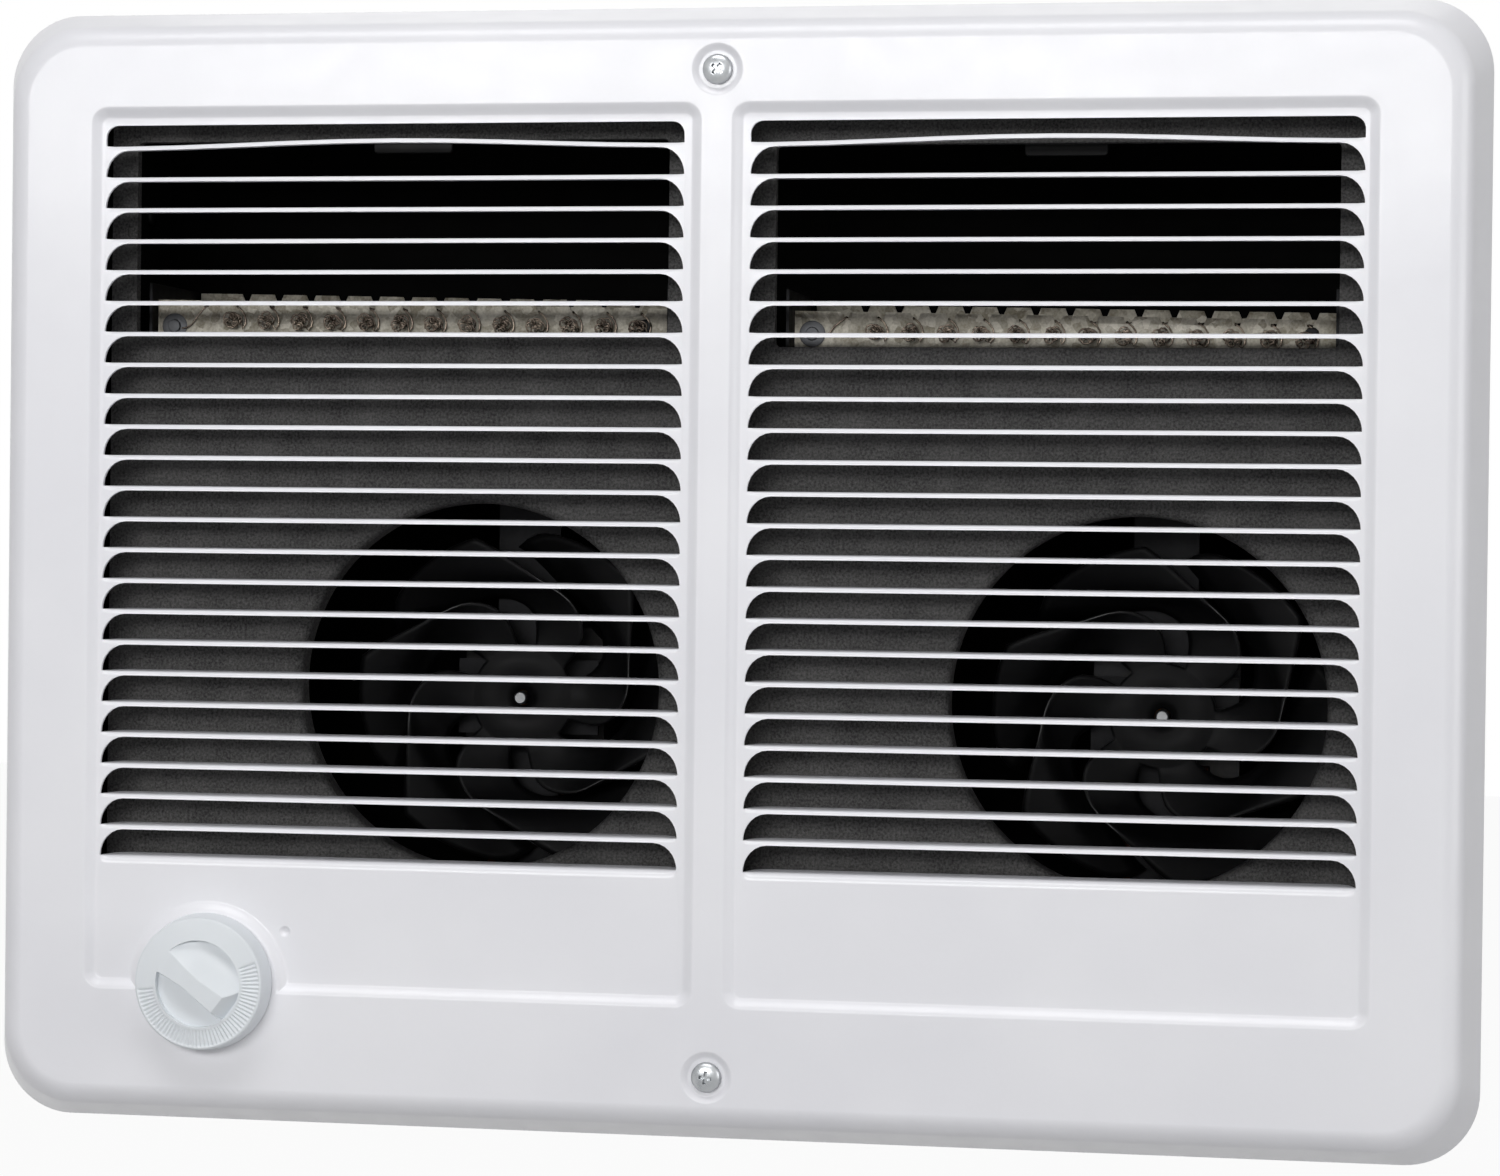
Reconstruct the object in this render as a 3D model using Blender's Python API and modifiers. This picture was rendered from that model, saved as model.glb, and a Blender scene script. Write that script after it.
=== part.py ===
"""Twin in-wall fan heater: two heater units behind one louvred steel grille.

Metres, +Z up, +X to the right of someone facing the heater, front towards -Y.
The origin is the centre of the wall can's back, and the wall's surface is at y = -CAN_DEPTH.
"""

import math

import bmesh
import bpy
from mathutils import Euler, Matrix, Vector

# Clearances
FIT_GAP = 0.0003
HOLE_GAP = 0.0004

# Deck plate of one heater unit, as wide as its warm air outlet and the strips beside it
OUTLET_WIDTH = 0.1848
DECK_SIDE_STRIP = 0.010
DECK_WIDTH = OUTLET_WIDTH + 2 * DECK_SIDE_STRIP
DECK_SHEET = 0.001
DECK_SIDE_FLANGE = 0.012
DECK_EDGE = 0.004

# Wall can, folded from galvanised sheet and sunk in the wall, with two decks side by side
CAN_LEFT_ROOM = 0.0128
CAN_RIGHT_ROOM = 0.0143
CAN_MIDDLE_ROOM = 0.0173
CAN_WIDTH = 2 * DECK_WIDTH + CAN_LEFT_ROOM + CAN_MIDDLE_ROOM + CAN_RIGHT_ROOM
CAN_HEIGHT = 0.350
CAN_SHEET = 0.0012
CAN_REAR_ROOM = 0.0062
CAN_LIP = 0.018
KNOCKOUT_RADIUS = 0.011
KNOCKOUT_STEP = 0.0005
NAIL_HOLE_RADIUS = 0.0025

# Grille cover, one stamped steel pan
GRILLE_SIDE_OVERLAP = 0.024
GRILLE_END_OVERLAP = 0.014
GRILLE_WIDTH = CAN_WIDTH + 2 * GRILLE_SIDE_OVERLAP
GRILLE_HEIGHT = CAN_HEIGHT + 2 * GRILLE_END_OVERLAP
GRILLE_PROUD = 0.020
GRILLE_SHEET = 0.0012
GRILLE_FLARE = 0.0045
GRILLE_EDGE_RADIUS = 0.010
GRILLE_CORNER_RADIUS = 0.020
RECESS_DEPTH = 0.002
RECESS_SLOPE = 0.0028
RECESS_CORNER = 0.004
RECESS_SIDE_BORDER = 0.0363
RECESS_TOP_BORDER = 0.0345
RECESS_BOTTOM_BORDER = 0.0466
RECESS_OUTER = GRILLE_WIDTH / 2 - RECESS_SIDE_BORDER
RECESS_INNER = 0.0058
RECESS_TOP = GRILLE_HEIGHT / 2 - RECESS_TOP_BORDER
RECESS_BOTTOM = RECESS_BOTTOM_BORDER - GRILLE_HEIGHT / 2
DIMPLE_RADIUS = 0.008
DIMPLE_FLOOR_RADIUS = 0.0062
DIMPLE_DEPTH = 0.0012

# Louvres, each a tongue cut out of the recessed panel and folded back on its slot's lower edge
SLOT_SIDE_BORDER = 0.004
SLOT_TOP_BORDER = 0.0053
SLOT_INNER_BORDER = 0.0053
PLAIN_FIELD = 0.0442
SLOT_PITCH = 0.01045
FIRST_SLOT_HEIGHT = 0.007
SLOT_OUTER = RECESS_OUTER - SLOT_SIDE_BORDER
SLOT_INNER = RECESS_INNER + SLOT_INNER_BORDER
FIRST_SILL = RECESS_TOP - SLOT_TOP_BORDER - FIRST_SLOT_HEIGHT
SLOT_COUNT = 1 + int((FIRST_SILL - RECESS_BOTTOM - PLAIN_FIELD) / SLOT_PITCH)
FIRST_SLOT_CORNER = 0.0038
LOUVRE_FACE = 0.0013
LOUVRE_ANGLE = math.radians(86)
LOUVRE_CORNER = 0.008
LOUVRE_CORNER_STEPS = (0.0, 0.13, 0.45, 1.0)
FIRST_LOUVRE_BOW = 0.0022

# Thermostat and knob
KNOB_INSET = 0.0429
KNOB_RISE = 0.0029
KNOB_X = KNOB_INSET - RECESS_OUTER
KNOB_Z = RECESS_BOTTOM + KNOB_RISE
KNOB_RADIUS = 0.0231
KNOB_FACE_RADIUS = 0.0222
KNOB_RING_HEIGHT = 0.0096
KNOB_WELL_RADIUS = 0.0146
KNOB_WELL_HEIGHT = 0.0074
KNOB_RIDGE_HEIGHT = 0.0119
KNOB_GRIP_TURN = math.radians(-39)
KNOB_SOCKET_DEPTH = 0.0065
KNOB_BOSS_RADIUS = 0.026
SHAFT_RADIUS = 0.003
BUSH_RADIUS = 0.0048
BUSH_LENGTH = 0.0085
BUSH_NUT_RADIUS = 0.008
BUSH_NUT_THICKNESS = 0.0025
THERMOSTAT_WIDTH = 0.036
THERMOSTAT_HEIGHT = 0.028
THERMOSTAT_DEPTH = 0.026

# Heater units: name, centre in X and height; the right one hangs a little lower on its screws
RIGHT_UNIT_DROP = 0.0023
UNITS = (("left", CAN_LEFT_ROOM + DECK_WIDTH / 2 - CAN_WIDTH / 2, 0.0),
         ("right", CAN_WIDTH / 2 - CAN_RIGHT_ROOM - DECK_WIDTH / 2, -RIGHT_UNIT_DROP))

# Openings in a deck plate
OUTLET_TOP = 0.1415
OUTLET_BOTTOM = 0.0798
OUTLET_FLANGE = 0.004
OUTLET_TAB_WIDTH = 0.030
OUTLET_TAB_HEIGHT = 0.0022
ORIFICE_RADIUS = 0.0620
ORIFICE_ROLL = 0.003
ORIFICE_BORDER = 0.0091
ORIFICE_X = DECK_WIDTH / 2 - ORIFICE_BORDER - ORIFICE_ROLL - ORIFICE_RADIUS
ORIFICE_Z = -0.0393
ORIFICE_DEPTH = 0.010

# Fan and motor
FAN_OFFSET_X = 0.0060
FAN_OFFSET_Z = -0.0050
FAN_RADIUS = 0.0575
FAN_REST_TURNS = {"left": math.radians(36), "right": math.radians(26)}
FAN_SHEET = 0.001
FAN_HUB_RADIUS = 0.018
FAN_BLADES = 6
FAN_PITCH_DEPTH = 0.014
FAN_SETBACK = 0.0400
BLADE_WIDTH = math.radians(48)
# Radius and angle of a blade's front edge, from the hub out along its straight outer part
BLADE_EDGE = ((0.030, -13), (0.037, 2), (0.041, 22), (0.047, 36), (FAN_RADIUS, 50))
MOTOR_SHAFT_RADIUS = 0.0024
SHAFT_NOSE = 0.0035
STRAP_GAP = 0.0020
STRAP_SHEET = 0.0015
STRAP_WIDTH = 0.022
STRAP_LEG = 0.075
STRAP_FOOT = 0.012
STRAP_PAD_WIDTH = 0.050
STRAP_PAD_HEIGHT = 0.026
BRIDGE_SHEET = 0.002
BRIDGE_STAND = 0.006
BRIDGE_HUB_RADIUS = 0.0095
BUSHING_RADIUS = 0.005
STACK_LENGTH = 0.018
STACK_WIDTH = 0.050
STACK_TOP = 0.024
STACK_BOTTOM = -0.046
STACK_BORE = 0.014
YOKE_HEIGHT = 0.012
STACK_LEG = 0.010
WINDOW_TOP = -0.0175
ROTOR_GAP = 0.0005
WINDING_BUILD = 0.0075
BOLT_RADIUS = 0.0015
BOLT_SPACING = 0.039
BOLT_HEAD_RADIUS = 0.003
BOLT_HEAD_HEIGHT = 0.0018

# Heating element
BOARD_CLEARANCE = 0.0024
BOARD_WIDTH = OUTLET_WIDTH - 2 * BOARD_CLEARANCE
BOARD_HEIGHT = 0.032
BOARD_SHEET = 0.0008
BOARD_SHIFT = 0.001
BOARD_TOP = 0.0895
BOARD_SETBACK = 0.0045
BOARD_SPACING = 0.046
ELEMENT_RISE = 0.006
NOTCH_BORDER = 0.020
NOTCH_PITCH = 0.0112
NOTCH_COUNT = 1 + int((BOARD_WIDTH - NOTCH_BORDER - 0.5 * NOTCH_BORDER) / NOTCH_PITCH)
NOTCH_START = NOTCH_BORDER - BOARD_WIDTH / 2
NOTCH_WIDTH = 0.0036
NOTCH_DEPTH = 0.0028
WIRE_RADIUS = 0.0005
CURL_RADIUS = 0.0030
CURLS_PER_COIL = 2
POINTS_PER_CURL = 6
COIL_DROP = 0.0068
FRAME_SHEET = 0.001
FRAME_FOOT = 0.006
TERMINAL_RADIUS = 0.0025
CUTOUT_X = -0.060
CUTOUT_Z = 0.046
CUTOUT_RADIUS = 0.008
CUTOUT_DEPTH = 0.010

# Fasteners and cable entry
SCREW_RADIUS = 0.0019
SCREW_HEAD_RADIUS = 0.005
SCREW_HEAD_HEIGHT = 0.0026
DECK_SCREW_HEAD_RADIUS = 0.0034
DECK_SCREW_HEAD_HEIGHT = 0.0018
SCREW_REACH = 0.007
CONNECTOR_SIDE = 0.077
CONNECTOR_X = CONNECTOR_SIDE - CAN_WIDTH / 2
CONNECTOR_INSET = 0.030
CONNECTOR_FLANGE = 0.014
CONNECTOR_LENGTH = 0.011
CONNECTOR_BORE = 0.007
LOCKNUT_THICKNESS = 0.0035
EARTH_SCREW_X = -0.010
EARTH_SCREW_RISE = 0.055
EARTH_SCREW_Z = EARTH_SCREW_RISE - CAN_HEIGHT / 2

# Levels that follow from the sizes above; the can is as deep as the fan and motor need
MOTOR_DEPTH = (FAN_PITCH_DEPTH / 2 + STRAP_GAP + STRAP_SHEET + 2 * (BRIDGE_SHEET + BRIDGE_STAND)
               + STACK_LENGTH + 3 * FIT_GAP + SHAFT_NOSE)
CAN_DEPTH = FAN_SETBACK - DECK_SHEET - FIT_GAP + MOTOR_DEPTH + CAN_REAR_ROOM + CAN_SHEET
WALL_Y = -CAN_DEPTH
FRONT_Y = WALL_Y - GRILLE_PROUD
RECESS_Y = FRONT_Y + RECESS_DEPTH
DECK_BACK_Y = WALL_Y - FIT_GAP
DECK_Y = DECK_BACK_Y - DECK_SHEET
LIP_CENTRE = CAN_HEIGHT / 2 - CAN_LIP / 2
DECK_HALF_HEIGHT = LIP_CENTRE + DECK_EDGE
FAN_X = ORIFICE_X + FAN_OFFSET_X
FAN_Z = ORIFICE_Z + FAN_OFFSET_Z
FAN_Y = DECK_Y + FAN_SETBACK
STRAP_Y = FAN_Y + FAN_PITCH_DEPTH / 2 + STRAP_GAP
BRIDGE_FRONT_Y = STRAP_Y + STRAP_SHEET + FIT_GAP
STACK_Y = BRIDGE_FRONT_Y + BRIDGE_SHEET + BRIDGE_STAND + FIT_GAP
STACK_BACK_Y = STACK_Y + STACK_LENGTH
BRIDGE_REAR_Y = STACK_BACK_Y + FIT_GAP + BRIDGE_STAND
BRIDGE_BACK_Y = BRIDGE_REAR_Y + BRIDGE_SHEET
BOARD_FRONT_Y = DECK_BACK_Y + BOARD_SETBACK
BOARD_REAR_Y = BOARD_FRONT_Y + BOARD_SPACING
SEGMENTS = 16
FACING_FRONT = (math.pi / 2, 0.0, 0.0)
UPRIGHT = (0.0, 0.0, 0.0)


def clear_scene():
    for obj in list(bpy.data.objects):
        bpy.data.objects.remove(obj, do_unlink=True)


def make_collection(name):
    collection = bpy.data.collections.new(name)
    bpy.context.scene.collection.children.link(collection)
    return collection


def make_material(name, rgb, roughness, metallic):
    material = bpy.data.materials.new(name)
    material.use_nodes = True
    shader = material.node_tree.nodes["Principled BSDF"]
    shader.inputs["Base Color"].default_value = (*rgb, 1.0)
    shader.inputs["Roughness"].default_value = roughness
    shader.inputs["Metallic"].default_value = metallic
    return material


clear_scene()
MODEL = make_collection("in_wall_fan_heater")
CUTTERS = make_collection("cutters")

FINISHES = {
    "white_paint": make_material("white_paint", (0.80, 0.80, 0.83), 0.38, 0.0),
    "white_plastic": make_material("white_plastic", (0.76, 0.79, 0.81), 0.35, 0.0),
    "charcoal_paint": make_material("charcoal_paint", (0.045, 0.045, 0.047), 0.6, 0.0),
    "galvanised": make_material("galvanised", (0.52, 0.54, 0.56), 0.42, 1.0),
    "zinc": make_material("zinc", (0.66, 0.66, 0.66), 0.3, 1.0),
    "black_blade": make_material("black_blade", (0.03, 0.03, 0.03), 0.45, 0.4),
    "lamination": make_material("lamination", (0.22, 0.22, 0.23), 0.5, 1.0),
    "enamelled_wire": make_material("enamelled_wire", (0.45, 0.16, 0.06), 0.35, 0.6),
    "steel": make_material("steel", (0.55, 0.55, 0.56), 0.3, 1.0),
    "bronze": make_material("bronze", (0.45, 0.28, 0.12), 0.4, 1.0),
    "mica": make_material("mica", (0.45, 0.42, 0.35), 0.55, 0.0),
    "nichrome": make_material("nichrome", (0.30, 0.28, 0.26), 0.35, 1.0),
    "black_phenolic": make_material("black_phenolic", (0.02, 0.02, 0.02), 0.4, 0.0),
    "green_zinc": make_material("green_zinc", (0.05, 0.30, 0.10), 0.35, 0.6),
}


def finish_object(obj, finish, smooth_angle=35.0):
    obj.data.materials.append(FINISHES[finish])
    if obj.type == "MESH":
        obj.data.shade_smooth()
        obj.data.set_sharp_from_angle(angle=math.radians(smooth_angle))
    return obj


def mesh_object(name, bm, finish=None, location=(0, 0, 0), collection=None):
    """Turn a bmesh into a named object; one with no finish is a cutter."""
    mesh = bpy.data.meshes.new(name)
    bm.to_mesh(mesh)
    bm.free()
    obj = bpy.data.objects.new(name, mesh)
    obj.location = location
    (collection or MODEL).objects.link(obj)
    if finish:
        finish_object(obj, finish)
    return obj


def add_box(bm, low, high):
    size = Vector(high) - Vector(low)
    centre = (Vector(high) + Vector(low)) / 2
    place = Matrix.Translation(centre) @ Matrix.Diagonal((*size, 1.0))
    return bmesh.ops.create_cube(bm, size=1.0, matrix=place)["verts"]


def add_rod(bm, start, axis, length, radius, segments=SEGMENTS):
    """Closed cylinder from start along a world axis."""
    direction = Vector(axis)
    turn = direction.to_track_quat("Z", "Y").to_matrix().to_4x4()
    place = Matrix.Translation(Vector(start) + direction * length / 2) @ turn
    bmesh.ops.create_cone(bm, cap_ends=True, segments=segments, radius1=radius, radius2=radius,
                          depth=length, matrix=place)


def hide_cutter(obj):
    obj.hide_render = True
    obj.display_type = "WIRE"
    return obj


def boolean(obj, other, operation):
    modifier = obj.modifiers.new(operation.lower(), "BOOLEAN")
    modifier.operation = operation
    modifier.solver = "EXACT"
    modifier.object = other
    return modifier


def cut_holes(obj, name, holes, segments=8):
    """Cut round holes, each (start, axis, length, radius), with one cutter."""
    bm = bmesh.new()
    for start, axis, length, radius in holes:
        add_rod(bm, start, axis, length, radius, segments)
    cutter = hide_cutter(mesh_object(name, bm, collection=CUTTERS))
    boolean(obj, cutter, "DIFFERENCE")


def thicken(obj, thickness):
    """Give an open sheet its thickness, inwards from the faces' normals."""
    modifier = obj.modifiers.new("sheet", "SOLIDIFY")
    modifier.thickness = thickness
    modifier.offset = -1.0
    modifier.use_even_offset = True
    modifier.use_quality_normals = True
    return modifier


def turned(name, profile, finish, location, steps=SEGMENTS, closed=False, rotation=FACING_FRONT):
    """Turn a profile of (radius, height) about Y, with height running towards the front.

    An open profile starts and ends on the axis and runs down its outer side. A closed one is a
    ring in section.
    """
    bm = bmesh.new()
    points = [bm.verts.new((radius, 0.0, height)) for radius, height in profile]
    for first, second in zip(points, points[1:]):
        bm.edges.new((first, second))
    if closed:
        bm.edges.new((points[-1], points[0]))
    obj = mesh_object(name, bm, finish, location)
    obj.rotation_euler = rotation
    screw = obj.modifiers.new("turn", "SCREW")
    screw.axis = "Z"
    screw.steps = steps
    screw.render_steps = steps
    screw.use_merge_vertices = True
    screw.merge_threshold = 0.00005
    screw.use_smooth_shade = True
    return obj


def ring_profile(inner, outer, low, high):
    return [(outer, high), (outer, low), (inner, low), (inner, high)]


def flat_plate(name, outlines, thickness, finish, location, rotation=FACING_FRONT):
    """Plate from outlines of (x, z): the first is its edge and the others are holes.

    Its front face is at location, and its thickness runs backwards.
    """
    curve = bpy.data.curves.new(name, "CURVE")
    curve.dimensions = "2D"
    curve.fill_mode = "BOTH"
    curve.extrude = thickness / 2
    for outline in outlines:
        spline = curve.splines.new("POLY")
        spline.points.add(len(outline) - 1)
        spline.use_cyclic_u = True
        for point, (x, z) in zip(spline.points, outline):
            point.co = (x, z, 0.0, 1.0)
    obj = bpy.data.objects.new(name, curve)
    obj.rotation_euler = rotation
    obj.location = Vector(location) - Euler(rotation).to_matrix() @ Vector((0.0, 0.0, thickness / 2))
    MODEL.objects.link(obj)
    return finish_object(obj, finish)


def arc(centre_x, centre_z, radius, start, end, count):
    """Points on an arc from start to end degrees, both included."""
    steps = [math.radians(start + (end - start) * i / count) for i in range(count + 1)]
    return [(centre_x + radius * math.cos(a), centre_z + radius * math.sin(a)) for a in steps]


def circle(centre_x, centre_z, radius, count=SEGMENTS):
    return arc(centre_x, centre_z, radius, 0, 360, count)[:-1]


def rectangle(x0, x1, z0, z1):
    return [(x0, z0), (x1, z0), (x1, z1), (x0, z1)]


def rounded_rectangle(x0, x1, z0, z1, radius, count=4):
    """Outline with round corners, anticlockwise from the lower left corner."""
    return (arc(x0 + radius, z0 + radius, radius, 180, 270, count)
            + arc(x1 - radius, z0 + radius, radius, 270, 360, count)
            + arc(x1 - radius, z1 - radius, radius, 0, 90, count)
            + arc(x0 + radius, z1 - radius, radius, 90, 180, count))


def add_ring(bm, outline, y):
    return [bm.verts.new((x, y, z)) for x, z in outline]


def bridge(bm, outer, inner):
    """Join two rings of as many points with a band of quads."""
    count = len(outer)
    for i in range(count):
        j = (i + 1) % count
        bm.faces.new((outer[i], outer[j], inner[j], inner[i]))


def fill_between(bm, rings):
    """Fill the flat area inside the first ring and outside the others."""
    edges = []
    for ring in rings:
        for first, second in zip(ring, ring[1:] + ring[:1]):
            edge = bm.edges.get((first, second)) or bm.edges.new((first, second))
            edges.append(edge)
    bmesh.ops.triangle_fill(bm, use_beauty=True, edges=edges, normal=(0.0, -1.0, 0.0))


def face_front(bm):
    """Point an open sheet's normals the same way, out of its front."""
    bmesh.ops.recalc_face_normals(bm, faces=bm.faces)
    flattest = max(bm.faces, key=lambda face: abs(face.normal.y) * face.calc_area())
    if flattest.normal.y > 0:
        bmesh.ops.reverse_faces(bm, faces=bm.faces)


# Grille cover


def pan_rings():
    """Outlines of the pan's wall, from the rim on the wall to the edge of its flat front."""
    half_width = GRILLE_WIDTH / 2
    half_height = GRILLE_HEIGHT / 2
    rings = [(0.0, WALL_Y)]
    for angle in (0, 30, 60, 90):
        inset = GRILLE_FLARE + GRILLE_EDGE_RADIUS * (1 - math.cos(math.radians(angle)))
        rise = GRILLE_EDGE_RADIUS * (1 - math.sin(math.radians(angle)))
        rings.append((inset, FRONT_Y + rise))
    outlines = []
    for inset, y in rings:
        corner = max(GRILLE_CORNER_RADIUS - inset, GRILLE_SHEET)
        outline = rounded_rectangle(inset - half_width, half_width - inset,
                                    inset - half_height, half_height - inset, corner)
        outlines.append((outline, y))
    return outlines


def recess_outline(side, inset):
    """Outline of one recessed panel; the left one goes round the knob's boss."""
    low_x, high_x = (-RECESS_OUTER, -RECESS_INNER) if side < 0 else (RECESS_INNER, RECESS_OUTER)
    x0, x1 = low_x + inset, high_x - inset
    z0, z1 = RECESS_BOTTOM + inset, RECESS_TOP - inset
    radius = RECESS_CORNER - inset
    outline = rounded_rectangle(x0, x1, z0, z1, radius, 2)
    if side > 0:
        return outline
    boss = KNOB_BOSS_RADIUS + inset
    reach = math.degrees(math.asin((z0 - KNOB_Z) / boss))
    bump = arc(KNOB_X, KNOB_Z, boss, 180 - reach, reach, 14)
    corner_points = 3
    return outline[:corner_points] + bump + outline[corner_points:]


def slot_sill(index):
    """Height of a slot's lower edge, on which its tongue is folded back."""
    return FIRST_SILL - index * SLOT_PITCH


def louvre_stations(x0, x1, middle):
    """Places along a louvre, close together round its corners."""
    start = [x0 + LOUVRE_CORNER * u for u in LOUVRE_CORNER_STEPS]
    end = [x1 - LOUVRE_CORNER * u for u in reversed(LOUVRE_CORNER_STEPS)]
    span = (x1 - x0 - 2 * LOUVRE_CORNER) / (middle + 1)
    return start + [x0 + LOUVRE_CORNER + span * (i + 1) for i in range(middle)] + end


def slot_share(x, x0, x1, corner):
    """Share of a slot's height that is cut out at x, less round its upper corners."""
    inset = min(x - x0, x1 - x, corner) / corner
    return math.sqrt(max(0.0, 1 - (1 - inset) ** 2))


def first_bow(x, x0, x1, index):
    """How far the first louvre bows up at x, as it does on the real cover."""
    across = (x - (x0 + x1) / 2) / (x1 - x0)
    return FIRST_LOUVRE_BOW * math.cos(math.pi * across) ** 2 if index == 0 else 0.0


def add_tongue(bm, fold, height, corner):
    """The tongue cut out of a slot, folded back along the slot's lower edge."""
    x0, x1 = fold[0].co.x, fold[-1].co.x
    free = [fold[0]]
    for vert in fold[1:-1]:
        length = height * slot_share(vert.co.x, x0, x1, corner)
        free.append(bm.verts.new((vert.co.x, RECESS_Y + length * math.sin(LOUVRE_ANGLE),
                                  vert.co.z + length * math.cos(LOUVRE_ANGLE))))
    free.append(fold[-1])
    for i in range(len(fold) - 1):
        corners = [fold[i], fold[i + 1], free[i + 1], free[i]]
        bm.faces.new([vert for j, vert in enumerate(corners) if vert not in corners[:j]])


def add_louvres(bm, side):
    """All louvres of one panel; returns the ring where they join the recess floor."""
    x0, x1 = (-SLOT_OUTER, -SLOT_INNER) if side < 0 else (SLOT_INNER, SLOT_OUTER)
    left = [bm.verts.new((x0, RECESS_Y, slot_sill(index))) for index in range(SLOT_COUNT)]
    right = [bm.verts.new((x1, RECESS_Y, slot_sill(index))) for index in range(SLOT_COUNT)]
    for index in range(SLOT_COUNT):
        sill = slot_sill(index)
        stations = louvre_stations(x0, x1, 4 if index == 0 else 0)[1:-1]
        fold = [left[index]]
        fold += [bm.verts.new((x, RECESS_Y, sill + first_bow(x, x0, x1, index))) for x in stations]
        fold.append(right[index])
        if index == 0:
            add_tongue(bm, fold, FIRST_SLOT_HEIGHT, FIRST_SLOT_CORNER)
        else:
            add_tongue(bm, fold, SLOT_PITCH - LOUVRE_FACE, LOUVRE_CORNER)
        if index == SLOT_COUNT - 1:
            break
        below = slot_sill(index + 1)
        edge = [left[index + 1]]
        for vert in fold[1:-1]:
            height = vert.co.z - LOUVRE_FACE - below
            edge.append(bm.verts.new((vert.co.x, RECESS_Y,
                                      below + height * slot_share(vert.co.x, x0, x1, LOUVRE_CORNER))))
        edge.append(right[index + 1])
        for i in range(len(fold) - 1):
            bm.faces.new((fold[i], fold[i + 1], edge[i + 1], edge[i]))
    corner = FIRST_SLOT_CORNER
    slot_top = FIRST_SILL + FIRST_SLOT_HEIGHT
    top = arc(x1 - corner, slot_top - corner, corner, 0, 90, 3)
    top += arc(x0 + corner, slot_top - corner, corner, 90, 180, 3)
    return fold[:-1] + right[::-1] + add_ring(bm, top, RECESS_Y) + left[:-1]


def build_grille():
    bm = bmesh.new()
    rings = [add_ring(bm, outline, y) for outline, y in pan_rings()]
    for outer, inner in zip(rings, rings[1:]):
        bridge(bm, outer, inner)
    front_rings = [rings[-1]]
    for side in (-1, 1):
        lip = add_ring(bm, recess_outline(side, 0.0), FRONT_Y)
        floor = add_ring(bm, recess_outline(side, RECESS_SLOPE), RECESS_Y)
        bridge(bm, lip, floor)
        front_rings.append(lip)
        fill_between(bm, [floor, add_louvres(bm, side)])
    for z in (-LIP_CENTRE, LIP_CENTRE):
        lip = add_ring(bm, circle(0.0, z, DIMPLE_RADIUS, 16), FRONT_Y)
        floor = add_ring(bm, circle(0.0, z, DIMPLE_FLOOR_RADIUS, 16), FRONT_Y + DIMPLE_DEPTH)
        hole = add_ring(bm, circle(0.0, z, SCREW_RADIUS + HOLE_GAP, 16), FRONT_Y + DIMPLE_DEPTH)
        bridge(bm, lip, floor)
        bridge(bm, floor, hole)
        front_rings.append(lip)
    front_rings.append(add_ring(bm, circle(KNOB_X, KNOB_Z, BUSH_RADIUS, 16), FRONT_Y))
    fill_between(bm, front_rings)
    face_front(bm)
    grille = mesh_object("grille_cover", bm, "white_paint")
    thicken(grille, GRILLE_SHEET)


def pan_head_profile(head_radius, head_height, radius, reach):
    """Screw with a domed head; its seat is at height 0 and its shank runs backwards."""
    return [(0.0, head_height), (head_radius * 0.55, head_height * 0.94),
            (head_radius * 0.88, head_height * 0.6), (head_radius, 0.0), (radius, 0.0),
            (radius, -reach + radius), (0.0, -reach)]


def build_grille_screws():
    seat = FRONT_Y + DIMPLE_DEPTH - FIT_GAP
    reach = WALL_Y - seat + SCREW_REACH
    profile = pan_head_profile(SCREW_HEAD_RADIUS, SCREW_HEAD_HEIGHT, SCREW_RADIUS, reach)
    for place, z in (("top", LIP_CENTRE), ("bottom", -LIP_CENTRE)):
        turned("grille_screw_" + place, profile, "zinc", (0.0, seat, z), 16)


# Wall can


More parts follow.
